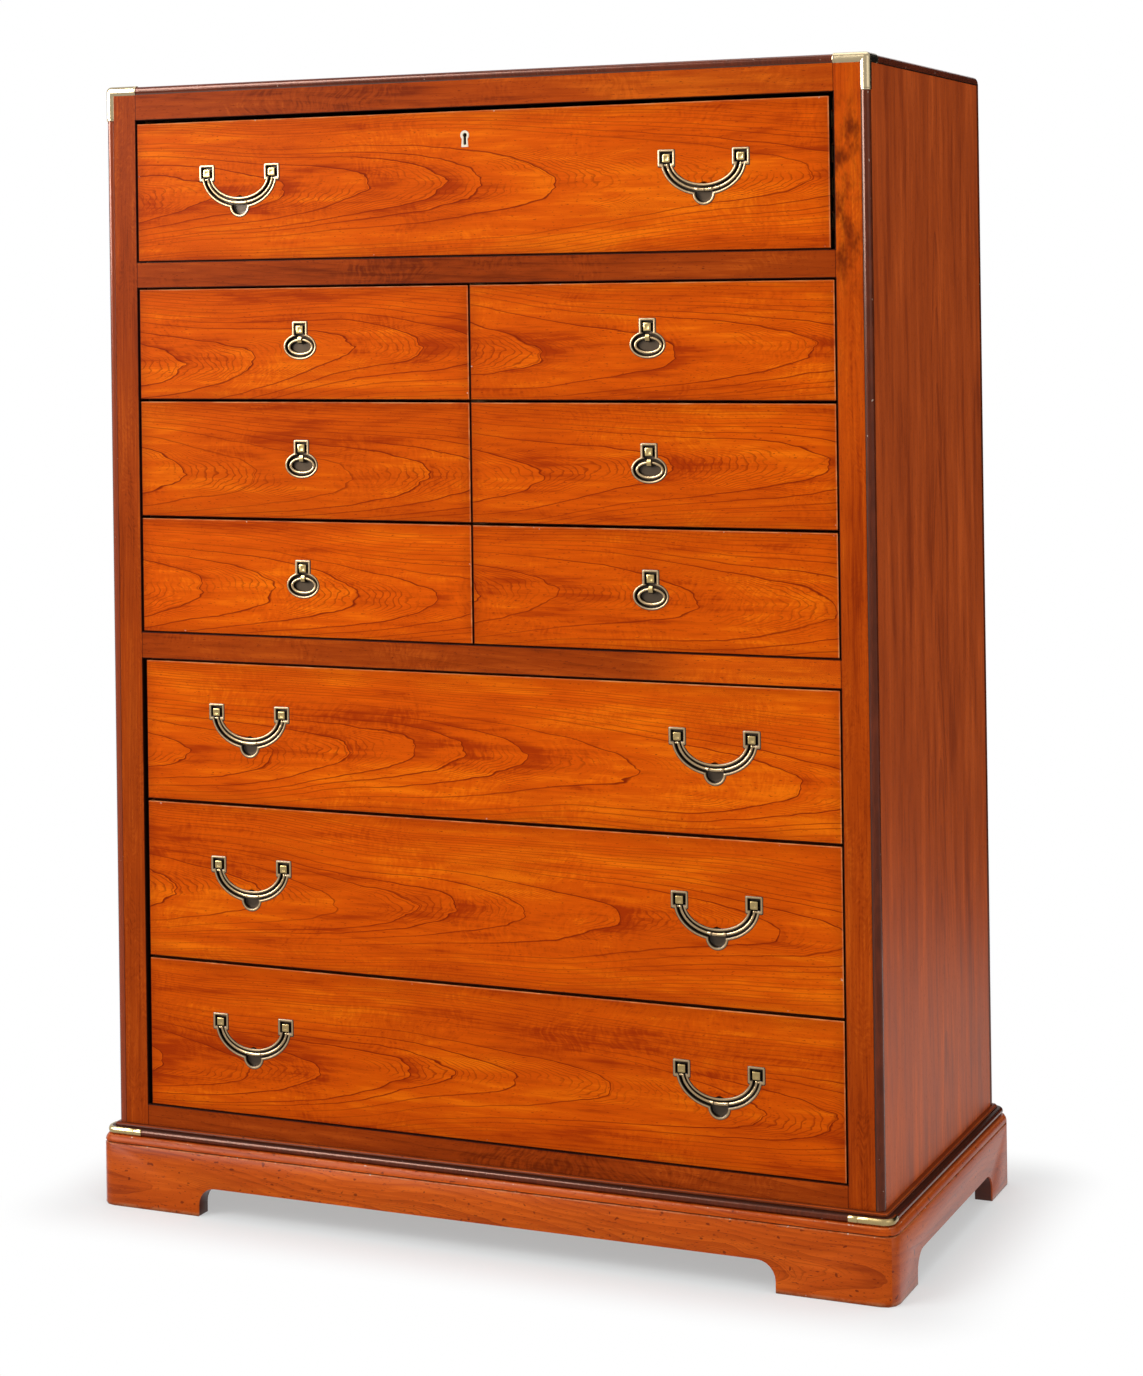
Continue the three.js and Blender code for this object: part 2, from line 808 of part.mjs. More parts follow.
function bailPlate() {
  const a = bailSpacing / 2;
  const y0 = -plateProud;
  const floor = y0 + recessDepth;
  const cut = y0 - overrun;
  const w = postRecessWidth / 2;
  const recess = joined([
    extrudeY(halfBand(channelHalfWidth), cut, floor, 5),
    extrudeY(rectangle(-a - w, -a + w, -postRecessBottom, postRecessTop), cut, floor, 1),
    extrudeY(rectangle(a - w, a + w, -postRecessBottom, postRecessTop), cut, floor, 1),
    extrudeY(disc(scoopRadius - scoopRim, 0, scoopZ), cut, floor, 4),
  ]);
  const p = postSize / 2;
  const posts = [-a, a].map((x) => box(x - p, x + p, -postProud, floor + weld, -p, p));
  const [reach, bite] = [a + channelHalfWidth, bailPinBite + pocketGap];
  const sockets = [-1, 1].map((side) => {
    const x = side * (reach + (bite - overrun / 2) / 2);
    return rodAt(socketRadius, 6, bite + overrun / 2, "x", x, handleDepth, -bailPinDrop);
  });
  const body = bailPlateOutline(0, y0, y0 + plateThickness);
  return joined([body.subtract(recess), ...posts]).subtract(joined(sockets));
}

class BailCurve extends THREE.Curve {
  // From the left pin down round the bail to the right pin, t from 0 to 1
  getPoint(t, target = new THREE.Vector3()) {
    const start = Math.asin((bailPinDrop - bailStraight) / bailDrop);
    const angle = Math.PI + start + (Math.PI - 2 * start) * t;
    const x = (bailSpacing / 2) * Math.cos(angle);
    return target.set(x, 0, bailDrop * Math.sin(angle) - bailStraight);
  }
}

function bail() {
  const curve = new BailCurve();
  const section = new THREE.Shape();
  section.absarc(0, 0, bailRadius, 0, 2 * Math.PI, false);
  const settings = { steps: 11, curveSegments: 3, extrudePath: curve };
  const wire = toSolid(new THREE.ExtrudeGeometry(section, settings));
  const end = curve.getPoint(1);
  const reach = bailSpacing / 2 + channelHalfWidth + bailPinBite;
  const inner = end.x - bailPinRadius;
  const pins = [-1, 1].map((side) => {
    const x = (side * (inner + reach)) / 2;
    return rodAt(bailPinRadius, 6, reach - inner, "x", x, 0, -bailPinDrop);
  });
  const low = -bailStraight - bailDrop;
  const collar = rodAt(bailCollarRadius, 6, bailCollarLength, "x", 0, 0, low);
  return joined([wire, ...pins, collar]);
}

// Ring pull. Its outlines are in X and Z from the middle of the post.
function ellipseShape(a, b, z) {
  const shape = new THREE.Shape();
  shape.absellipse(0, z, a, b, 0, 2 * Math.PI, false, 0);
  return shape;
}

function ringPlateOutline(grow, y0, y1) {
  const [w, h] = [ringPlateWidth / 2 + grow, ringPlateHeight / 2 + grow];
  const dish = ellipseShape(dishHalfWidth + grow, dishHalfHeight + grow, -dishDrop);
  return extrudeY(rectangle(-w, w, -h, h), y0, y1, 1).add(extrudeY(dish, y0, y1, 7));
}

function ringPlate() {
  const y0 = -plateProud;
  const floor = y0 + recessDepth;
  const cut = y0 - overrun;
  const w = ringRecessWidth / 2;
  const dish = ellipseShape(dishHalfWidth - dishRim, dishHalfHeight - dishRim, -dishDrop);
  const recess = joined([
    extrudeY(rectangle(-w, w, -ringRecessBottom, ringRecessTop), cut, floor, 1),
    extrudeY(rectangle(-neckHalfWidth, neckHalfWidth, -dishDrop, 0), cut, floor, 1),
    extrudeY(dish, cut, floor, 7),
  ]);
  const p = ringPostSize / 2;
  const post = box(-p, p, -postProud, floor + weld, -p, p);
  const half = lugWidth / 2;
  const lug = box(-half, half, -lugProud, floor + weld, -lugBottom, weld - lugTop);
  const eye = rodAt(lugHoleRadius, 10, lugWidth + overrun, "x", 0, handleDepth, -ringPivotDrop);
  const body = ringPlateOutline(0, y0, y0 + plateThickness);
  return joined([body.subtract(recess), post, lug]).subtract(eye);
}

function ring() {
  const [steps, sides] = [12, 6];
  const loops = Array.from({ length: steps }, (unused, i) => {
    const angle = (2 * Math.PI * (i + 1 / 2)) / steps;
    const x = ringHalfWidth * Math.cos(angle);
    const z = ringHalfHeight * Math.sin(angle);
    const out = new THREE.Vector2(x / ringHalfWidth ** 2, z / ringHalfHeight ** 2).normalize();
    return Array.from({ length: sides }, (none, j) => {
      const turn = (2 * Math.PI * j) / sides;
      const reach = ringWireRadius * Math.cos(turn);
      const y = ringWireRadius * Math.sin(turn);
      const drop = -ringPivotDrop - ringHalfHeight;
      return new THREE.Vector3(x + out.x * reach, y, z + out.y * reach + drop);
    });
  });
  return loopSolid(loops);
}

// Lock and keyhole of the top drawer. The outlines are in X and Z from the middle of the keyhole.
const keyHoleZ = escutcheonHeight / 2 - escutcheonHeadRadius;

function escutcheonShape(grow) {
  const foot = -escutcheonHeight / 2 - grow;
  const r = escutcheonHeadRadius + grow;
  const start = -Math.acos((escutcheonNeckWidth / 2 + grow) / r);
  const head = arcPoints(0, keyHoleZ, r, start, Math.PI - start, 9);
  const base = escutcheonBaseWidth / 2 + grow;
  return outline([[-base, foot], [base, foot], ...head]);
}

function keyShape() {
  const half = keySlotWidth / 2;
  const foot = -escutcheonHeight / 2 + keySlotLift;
  const start = -Math.acos(half / keyHoleRadius);
  const head = arcPoints(0, keyHoleZ, keyHoleRadius, start, Math.PI - start, 7);
  return outline([[-half, foot], [half, foot], ...head]);
}

const lockFront = backOfFronts - lockThickness;
const boltFront = backOfFronts - boltBackWall - boltThickness;

function boltSpace(z0, height) {
  const w = boltWidth / 2 + boltGap;
  const y1 = boltFront + boltThickness + boltGap;
  const middle = topDrawerShift;
  return box(middle - w, middle + w, boltFront - boltGap, y1, z0, z0 + height);
}

// All pieces
addMesh("plinth", plinth(), cherry);
addMesh("base_moulding", baseMoulding(), cherry);
addMesh("base_bead", baseBead(), blackWood);
addMesh("base_corner_left", baseCorner(-1), brass);
addMesh("base_corner_right", baseCorner(1), brass);
addMesh("side_left", sidePanel(-1), darkCherry);
addMesh("side_right", sidePanel(1), darkCherry);
addMesh("top_panel", topPanel(), darkCherry);
addMesh("bottom_panel", bottomPanel(), innerWood);
addMesh("back_panel", backPanel(), innerWood);
addMesh("face_frame", faceFrame(), cherry);
addMesh("small_drawer_divider", smallDrawerDivider(), innerWood);
addMesh("edge_bead", edgeBead(), blackWood);
addMesh("top_corner_left", topCorner(-1), brass);
addMesh("top_corner_right", topCorner(1), brass);

const plateSolid = bailPlate();
const bailSolid = bail();
const ringPlateSolid = ringPlate();
const ringSolid = ring();
const pocketFloor = faceOfFronts - plateProud + plateThickness + pocketGap;

function fullDrawer(name, row) {
  const s = drawerSizes(row);
  const middle = (s.x0 + s.x1) / 2;
  const postZ = (row.bottom + row.top) / 2 + row.rise;
  let board = drawerFront(s).subtract(tails(s, seat));
  for (const [side, hand] of [
    ["left", -1],
    ["right", 1],
  ]) {
    const x = middle + bailShift + hand * ((s.x1 - s.x0) / 2 - bailFromEnd);
    const pocket = bailPlateOutline(pocketGap, -overrun, pocketFloor - faceOfFronts);
    board = board.subtract(pocket.translate([x, faceOfFronts, postZ]));
    const plate = addMesh(`${name}_bail_plate_${side}`, plateSolid, brass);
    plate.position.set(x, faceOfFronts, postZ);
    const handle = addMesh(`${name}_bail_${side}`, bailSolid, brass);
    handle.position.set(x, faceOfFronts + handleDepth, postZ);
  }
  const sides = drawerBox(s, backOfFronts + seat).add(tails(s, 0));
  addMesh(`${name}_box`, sides, innerWood);
  if (row.kind === "top") board = fitLock(board, s, middle);
  addMesh(`${name}_front`, board, cherry);
}

function fitLock(board, s, middle) {
  const z = s.z1 - keyholeFromTop;
  const place = (solid) => solid.translate([middle, faceOfFronts, z]);
  const depth = escutcheonThickness - escutcheonProud;
  const inlay = place(extrudeY(escutcheonShape(pocketGap), -overrun, depth + pocketGap, 1));
  const through = place(extrudeY(keyShape(), -overrun, frontThickness + overrun, 1));
  const [half, fit] = [lockWidth / 2, lockWidth / 2 + pocketGap];
  const y1 = backOfFronts + overrun;
  const low = s.z1 - lockHeight;
  const space = [lockFront - pocketGap, y1, low - pocketGap, s.z1 + overrun];
  const pocket = box(middle - fit, middle + fit, ...space);
  const keyhole = extrudeY(keyShape(), -overrun, overrun, 1);
  const face = extrudeY(escutcheonShape(0), -escutcheonProud, depth, 1).subtract(keyhole);
  addMesh("keyhole_escutcheon", place(face), bone);
  const keyDepth = lockThickness / 2;
  const keyCut = place(extrudeY(keyShape(), -overrun, lockFront - faceOfFronts + keyDepth, 1));
  const channelLow = s.z1 - boltLength - 2 * boltGap;
  const body = box(middle - half, middle + half, lockFront, backOfFronts, low, s.z1 - seat);
  const lock = body.subtract(keyCut).subtract(boltSpace(channelLow, boltLength + overrun));
  addMesh("lock_case", lock, iron);
  const w = boltWidth / 2;
  const [boltTop, boltBack] = [s.z1 - boltGap, boltFront + boltThickness];
  const bolt = box(middle - w, middle + w, boltFront, boltBack, boltTop - boltLength, boltTop);
  addMesh("lock_bolt", bolt, brass);
  return board.subtract(inlay).subtract(through).subtract(pocket);
}

function smallDrawer(name, row, hand) {
  const s = drawerSizes(row, hand);
  const x = (s.x0 + s.x1) / 2;
  const z = (row.bottom + row.top) / 2 + row.rise;
  const pocket = ringPlateOutline(pocketGap, -overrun, pocketFloor - faceOfFronts);
  const board = drawerFront(s).subtract(pocket.translate([x, faceOfFronts, z]));
  addMesh(name, board.add(drawerBox(s, backOfFronts)), cherry);
  const plate = addMesh(`${name}_ring_plate`, ringPlateSolid, brass);
  plate.position.set(x, faceOfFronts, z);
  const pull = addMesh(`${name}_ring`, ringSolid, brass);
  pull.position.set(x, faceOfFronts + handleDepth, z);
}

const longNames = ["long_drawer_bottom", "long_drawer_middle", "long_drawer_upper"];
const smallNames = ["small_drawer_lower", "small_drawer_middle", "small_drawer_upper"];
rows.filter((row) => row.kind === "long").forEach((row, i) => fullDrawer(longNames[i], row));
rows
  .filter((row) => row.kind === "small")
  .forEach((row, i) => {
    smallDrawer(`${smallNames[i]}_left`, row, -1);
    smallDrawer(`${smallNames[i]}_right`, row, 1);
  });
rows.filter((row) => row.kind === "top").forEach((row) => fullDrawer("top_drawer", row));

export default group;
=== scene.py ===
"""Dresses the campaign chest: polished cherry, dark beads, antique brass, bone and iron."""

import logging
import math
from dataclasses import dataclass, field
from enum import Enum
from typing import Callable, Iterable, Optional, Sequence, Union

import bmesh
import bpy
from mathutils import Matrix, Vector


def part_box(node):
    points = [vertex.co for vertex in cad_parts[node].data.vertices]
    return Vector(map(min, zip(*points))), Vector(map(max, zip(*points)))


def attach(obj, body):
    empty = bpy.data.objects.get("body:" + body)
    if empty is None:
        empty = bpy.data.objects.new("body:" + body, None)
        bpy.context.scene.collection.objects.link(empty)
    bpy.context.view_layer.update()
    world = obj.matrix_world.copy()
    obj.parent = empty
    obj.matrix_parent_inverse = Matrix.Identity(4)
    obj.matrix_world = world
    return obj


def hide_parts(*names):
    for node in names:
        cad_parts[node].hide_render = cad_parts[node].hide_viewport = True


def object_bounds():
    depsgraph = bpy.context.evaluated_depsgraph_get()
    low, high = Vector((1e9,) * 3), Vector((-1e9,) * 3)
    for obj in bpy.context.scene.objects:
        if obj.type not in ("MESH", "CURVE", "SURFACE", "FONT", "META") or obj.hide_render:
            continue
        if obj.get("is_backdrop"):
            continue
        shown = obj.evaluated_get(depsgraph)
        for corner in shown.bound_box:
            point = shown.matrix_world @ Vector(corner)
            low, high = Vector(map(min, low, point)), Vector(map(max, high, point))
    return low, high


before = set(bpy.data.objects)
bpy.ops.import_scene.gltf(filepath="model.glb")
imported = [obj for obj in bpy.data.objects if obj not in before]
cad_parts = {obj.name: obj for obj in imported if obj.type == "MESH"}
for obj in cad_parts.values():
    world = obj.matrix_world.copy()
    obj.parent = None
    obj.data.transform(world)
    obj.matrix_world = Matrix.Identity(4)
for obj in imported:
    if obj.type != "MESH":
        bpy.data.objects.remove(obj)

log = logging.getLogger("campaign_chest")

MILLIMETRE = 0.001
CASE = "case"

Point = tuple[float, float, float]
Flat = tuple[float, float]
Colour = tuple[float, float, float]


class Hand(Enum):
    """The two ends of the chest, seen from the front."""

    LEFT = -1
    RIGHT = 1


class Grain(Enum):
    """The way that the fibres of a board run."""

    ALONG_X = 0
    ALONG_Y = 1
    ALONG_Z = 2


# Shader writing


class Sock:
    """One value of a shader, with arithmetic that adds the Math nodes for it."""

    def __init__(self, shader: "Shader", socket: bpy.types.NodeSocket) -> None:
        """Wraps the output that carries the value, of a node of this shader."""
        self.shader = shader
        self.socket = socket

    def _with(self, operation: str, *values: "Value") -> "Sock":
        """Adds one Math node on these values."""
        return self.shader.math(operation, *values)

    def __add__(self, other: "Value") -> "Sock":
        """self + other."""
        return self._with("ADD", self, other)

    __radd__ = __add__

    def __sub__(self, other: "Value") -> "Sock":
        """self - other."""
        return self._with("SUBTRACT", self, other)

    def __rsub__(self, other: "Value") -> "Sock":
        """other - self."""
        return self._with("SUBTRACT", other, self)

    def __mul__(self, other: "Value") -> "Sock":
        """self * other."""
        return self._with("MULTIPLY", self, other)

    __rmul__ = __mul__

    def __truediv__(self, other: "Value") -> "Sock":
        """self / other."""
        return self._with("DIVIDE", self, other)

    def __rtruediv__(self, other: "Value") -> "Sock":
        """other / self."""
        return self._with("DIVIDE", other, self)

    def __abs__(self) -> "Sock":
        """abs(self)."""
        return self._with("ABSOLUTE", self)

    def __neg__(self) -> "Sock":
        """-self."""
        return self * -1

    def __gt__(self, other: "Value") -> "Sock":
        """1 where self is greater than other."""
        return self._with("GREATER_THAN", self, other)

    def __lt__(self, other: "Value") -> "Sock":
        """1 where self is less than other."""
        return self._with("LESS_THAN", self, other)

    def root(self) -> "Sock":
        """Square root."""
        return self._with("SQRT", self)

    def part(self) -> "Sock":
        """What is left after the whole number."""
        return self._with("FRACT", self)

    def above(self, other: "Value") -> "Sock":
        """The larger of the two."""
        return self._with("MAXIMUM", self, other)

    def below(self, other: "Value") -> "Sock":
        """The smaller of the two."""
        return self._with("MINIMUM", self, other)

    def step(self, start: float, end: float) -> "Sock":
        """A smooth step from 0 at start to 1 at end.

        Args:
            start: where the step is 0.
            end: where the step is 1, which may be below start.

        Returns:
            The stepped value.
        """
        settings = {"interpolation_type": "SMOOTHSTEP"}
        inputs = {"Value": self, "From Min": start, "From Max": end}
        if start > end:
            inputs = {"Value": self, "From Min": end, "From Max": start}
            inputs.update({"To Min": 1.0, "To Max": 0.0})
        return self.shader.add("ShaderNodeMapRange", settings, inputs, "Result")


Value = Union[Sock, float]


class Shader:
    """A material, or the world, that is written as expressions on Sock values."""

    def __init__(self, name: str, is_world: bool = False) -> None:
        """Makes an empty material or world.

        Args:
            name: its name.
            is_world: whether it is a world.
        """
        self.kind = "World" if is_world else "Material"
        self.owner = (bpy.data.worlds if is_world else bpy.data.materials).new(name)
        self.owner.use_nodes = True
        self.tree = self.owner.node_tree
        self.tree.nodes.clear()

    def add(self, kind: str, settings: dict, inputs: dict, output: Union[str, int] = 0) -> Sock:
        """Adds any node.

        Args:
            kind: the node's type.
            settings: its properties, set before its sockets.
            inputs: values or links, by the socket's name or number.
            output: the output that is wanted, by name or number.

        Returns:
            That output.
        """
        node = self.tree.nodes.new(kind)
        for key, value in settings.items():
            setattr(node, key, value)
        for key, value in inputs.items():
            self.feed(node.inputs[key], value)
        return Sock(self, node.outputs[output])

    def feed(self, socket: bpy.types.NodeSocket, value: Union[Value, Sequence[float]]) -> None:
        """Links or sets one input.

        Args:
            socket: the input.
            value: a Sock, a number, a colour or a vector.
        """
        if isinstance(value, Sock):
            self.tree.links.new(value.socket, socket)
        elif isinstance(value, (int, float)):
            socket.default_value = value
        elif socket.type == "RGBA" and len(value) == 3:
            socket.default_value = (*value, 1.0)
        else:
            socket.default_value = tuple(value)

    def math(self, operation: str, *values: Value) -> Sock:
        """One Math node with this operation on one or two numbers."""
        return self.add("ShaderNodeMath", {"operation": operation}, dict(enumerate(values)))

    def place(self) -> tuple[Sock, Sock, Sock]:
        """The point's place on the chest, in metres, as three numbers."""
        point = self.add("ShaderNodeTexCoord", {}, {}, "Object")
        return tuple(
            self.add("ShaderNodeSeparateXYZ", {}, {0: point}, axis) for axis in range(3)
        )

    def noise(
        self, x: Value, y: Value, z: Value, detail: float = 2.0, rough: float = 0.5
    ) -> Sock:
        """Fractal noise from 0 to 1 at a scale of one unit.

        Args:
            x: where the noise is read.
            y: the same, along its second axis.
            z: the same, along its third axis.
            detail: the number of octaves.
            rough: how much each octave adds.

        Returns:
            The noise.
        """
        at = self.add("ShaderNodeCombineXYZ", {}, {0: x, 1: y, 2: z})
        inputs = {"Vector": at, "Scale": 1.0, "Detail": detail, "Roughness": rough}
        return self.add("ShaderNodeTexNoise", {"noise_dimensions": "3D"}, inputs)

    def blend(self, share: Value, first: Union[Sock, Colour], second: Union[Sock, Colour]) -> Sock:
        """Mixes two colours, with so much of the second one."""
        settings = {"data_type": "RGBA", "clamp_factor": True}
        return self.add("ShaderNodeMix", settings, {0: share, 6: first, 7: second}, 2)

    def darken(self, colour: Sock, share: Value) -> Sock:
        """Multiplies a colour by a grey value."""
        settings = {"data_type": "RGBA", "blend_type": "MULTIPLY"}
        grey = (share, share, share)
        if isinstance(share, Sock):
            grey = self.add("ShaderNodeCombineColor", {}, {0: share, 1: share, 2: share})
        return self.add("ShaderNodeMix", settings, {0: 1.0, 6: colour, 7: grey}, 2)

    def choose(self, share: Value, first: Value, second: Value) -> Sock:
        """Mixes two numbers, with so much of the second one."""
        settings = {"data_type": "FLOAT", "clamp_factor": True}
        return self.add("ShaderNodeMix", settings, {0: share, 2: first, 3: second}, 0)

    def bump(self, height: Sock, depth: float) -> Sock:
        """A normal from a height, where a height of 1 is so many metres deep."""
        return self.add("ShaderNodeBump", {}, {"Height": height, "Distance": depth})

    def seen(self, camera: Value = 1.0) -> Sock:
        """How much of a white surface shows to the camera, to polish and through glass.

        Args:
            camera: how much of it the camera sees.

        Returns:
            The share.
        """
        rays = ("Is Camera Ray", "Is Glossy Ray", "Is Transmission Ray")
        direct, glossy, clear = (self.add("ShaderNodeLightPath", {}, {}, ray) for ray in rays)
        return (direct * camera).above(glossy).above(clear)

    def surface(self, **inputs: Union[Value, Colour]) -> bpy.types.Material:
        """Ends the material in a Principled surface; underscores in a socket's name are spaces."""
        named = {key.replace("_", " "): value for key, value in inputs.items()}
        return self.ended(self.add("ShaderNodeBsdfPrincipled", {}, named))

    def ended(self, shading: Sock) -> bpy.types.ID:
        """Links a shading to the output and gives the finished material or world."""
        output = self.tree.nodes.new(f"ShaderNodeOutput{self.kind}")
        self.tree.links.new(shading.socket, output.inputs["Surface"])
        return self.owner


Figure = tuple[Sock, Sock, Sock]
Shade = Callable[[Shader, Sock, Sock, Sock], Sock]


# Finishes


# Wood tubes to the metre, and where bold growth lines go on before and beyond the given tips
TUBES_ACROSS = 900.0
LINES_BEFORE = (0.33, 0.22, 0.10)
LINES_BEYOND = (0.085, 0.19, 0.26, 0.37, 0.47, 0.55, 0.66, 0.77, 0.85, 0.96)


@dataclass(frozen=True)
class Board:
    """How one board was cut.

    The grain is the way that its fibres run, across is the way that its width runs, the heart is
    where the middle of the tree lies across it, and the tips are where its bold growth lines come
    to their points, all in metres.
    """

    grain: Grain
    heart: float = 0.0
    seed: float = 0.0
    across: Grain = Grain.ALONG_Z
    tips: tuple[float, ...] = ()


@dataclass(frozen=True)
class WoodFinish:
    """A stained and polished wood."""

    pale: Colour
    middle: Colour
    dark: Colour
    line: Colour
    ring: float = 0.085
    fine_ring: float = 0.0105
    arch: float = 105.0
    arch_close: float = 6.0
    arch_spread: float = 0.0
    sweep: float = 0.120
    wave: float = 0.034
    line_strength: float = 0.85
    fine_strength: float = 0.42
    cloud_strength: float = 0.30
    streak_strength: float = 0.70
    streak_scale: float = 85.0
    fleck_strength: float = 0.5
    ripple: float = 0.0
    roughness: float = 0.34
    specular: float = 0.07
    glare: Colour = (1.0, 1.0, 1.0)
    coat: float = 0.0
    pore: float = 0.5
    pore_depth: float = 0.00012

    def pattern(self, shader: Shader, board: Board) -> Figure:
        """Draws the figure of a plain board.

        Args:
            shader: the shader to write in.
            board: how the board was cut.

        Returns:
            (colour, roughness, height) over the board.
        """
        axes = shader.place()
        through = ({0, 1, 2} - {board.grain.value, board.across.value}).pop()
        along, across = axes[board.grain.value], axes[board.across.value]
        return self.figure(shader, board, along, across, axes[through])

    def figure(
        self, shader: Shader, board: Board, along: Sock, across: Sock, through: Sock
    ) -> Figure:
        """Draws the growth rings, clouds, fibres and pores.

        Args:
            shader: the shader to write in.
            board: how the board was cut.
            along: the place along the fibres, in metres.
            across: the place across the board.
            through: the depth through the board.

        Returns:
            (colour, roughness, height).
        """
        depth = through * 6.0 + board.seed

        def drawn_out(
            length: Value, width: Value, lift: float, detail: float = 2.0, rough: float = 0.5
        ) -> Sock:
            """Noise whose patches are so many to the metre along and across the fibres."""
            return shader.noise(along * length, across * width, depth + lift, detail, rough)

        centre = across - board.heart + (drawn_out(2.2, 5.0, 0.0, 1.0) - 0.5) * 0.06
        off = abs(centre)
        slow = drawn_out(6.0, 17.0, 3.1) - 0.5
        quick = drawn_out(26.0, 75.0, 7.7) - 0.5
        bow = centre * centre * self.arch / (1 + off * self.arch_close)
        bow = bow * (1 + off * self.arch_spread)
        calm = off.step(0.0, 0.05) * 0.75 + 0.25
        tongue = along + bow + slow * calm * self.sweep + quick * self.wave
        strength = shader.noise(tongue * 8.0, across * 6.0, depth, 1.0)
        if board.tips:
            bold, body = self._placed_lines(board, tongue, off, bow, strength)
        else:
            pace = shader.noise(tongue * 7.0, 0.3, board.seed, 1.0)
            saw = (tongue / self.ring + pace * 0.6).part()
            flank = off.step(0.085, 0.012) * 0.55 + 0.45
            bold = saw.step(0.935, 0.985) * saw.step(1.0, 0.990) * strength.step(0.26, 0.56) * flank
            body = saw.step(0.30, 1.0) * strength.step(0.2, 0.7) * flank
        fine_saw = (tongue / self.fine_ring + slow * 2.0).part()
        fine = fine_saw.step(0.66, 0.92) * fine_saw.step(1.0, 0.94)
        fine = fine * drawn_out(8.0, 26.0, 1.3, 1.0).step(0.40, 0.66)
        cloud = drawn_out(3.0, 11.0, 11.0, 2.0, 0.6) - 0.5
        streak = drawn_out(4.0, self.streak_scale, 5.0, 3.0, 0.6) - 0.5
        fleck = drawn_out(20.0, 170.0, 2.0, 2.0, 0.6) - 0.5
        tube = through * TUBES_ACROSS
        fibre = shader.noise(along * 30.0, across * TUBES_ACROSS, tube, 2.0, 0.6)
        pores = shader.noise(along * 170.0, across * TUBES_ACROSS, tube + board.seed, 1.0)
        pores = pores.step(0.66, 0.76)
        ripple = shader.noise(along * 260.0 + slow * 24.0, across * 90.0, depth + 6.0, 1.0) - 0.5
        ripple = ripple * drawn_out(9.0, 14.0, 9.0, 1.0).step(0.42, 0.62)
        lightness = 0.5 + cloud * 2.2 * self.cloud_strength + streak * self.streak_strength
        lightness = lightness + fleck * self.fleck_strength - body * 0.36 + (fibre - 0.5) * 0.35
        lightness = lightness + ripple * self.ripple
        colour = shader.blend(lightness.step(0.45, 0.95), self.middle, self.pale)
        colour = shader.blend(lightness.step(0.50, 0.02), colour, self.dark)
        lines = (bold * self.line_strength).above(fine * self.fine_strength)
        lines = lines.above(pores * self.pore)
        colour = shader.blend(lines * 1.5, colour, self.dark)
        colour = shader.blend(lines * 0.72, colour, self.line)
        return colour, self.roughness + streak * 0.10 + pores * 0.12, fibre * 0.35 - pores * 0.6

    def _placed_lines(
        self, board: Board, tongue: Sock, off: Sock, bow: Sock, strength: Sock
    ) -> tuple[Sock, Sock]:
        """Bold growth lines that come to their points at the board's tips.

        Args:
            board: how the board was cut.
            tongue: the growth of the tree at the place, which is equal along a line.
            off: the distance from the board's heart.
            bow: how far the lines are swept back there.
            strength: how strong the lines are there, from 0 to 1.

        Returns:
            (the lines themselves, the late wood beside them), from 0 to 1.
        """
        tips = board.tips
        before = [tips[0] - reach for reach in LINES_BEFORE]
        last: Value = before[0]
        for tip in (*before[1:], *tips, *(tips[-1] + reach for reach in LINES_BEYOND)):
            last = tongue.shader.choose(tongue > tip, last, tip)
        past = abs(tongue - last)
        slope = bow / (off + 0.004) * 1.6 + 1.0
        far = off.step(0.060, 0.015) * 0.72 + 0.28
        bold = (past / slope).step(0.0021, 0.0006) * (strength.step(0.20, 0.50) * 0.75 + 0.25) * far
        body = past.step(0.055, 0.0) * strength.step(0.3, 0.7) * off.step(0.055, 0.0) * 0.9
        return bold, body - past.step(0.055, 0.095) * off.step(0.05, 0.0) * 0.2

    def finish(self, shader: Shader, colour: Sock, gloss: Sock, height: Sock) -> bpy.types.Material:
        """Ends the material.

        Args:
            shader: the shader that the pattern was written in.
            colour: the surface colour.
            gloss: its roughness.
            height: its relief, from 0 to 1.

        Returns:
            The material.
        """
        return shader.surface(
            Base_Color=colour,
            Roughness=gloss,
            Normal=shader.bump(height, self.pore_depth),
            Specular_IOR_Level=self.specular,
            Specular_Tint=self.glare,
            Coat_Weight=self.coat,
            Coat_Roughness=0.12,
        )

    def material(self, name: str, board: Board) -> bpy.types.Material:
        """The finish on one plain board, as a material with this name."""
        shader = Shader(name)
        return self.finish(shader, *self.pattern(shader, board))


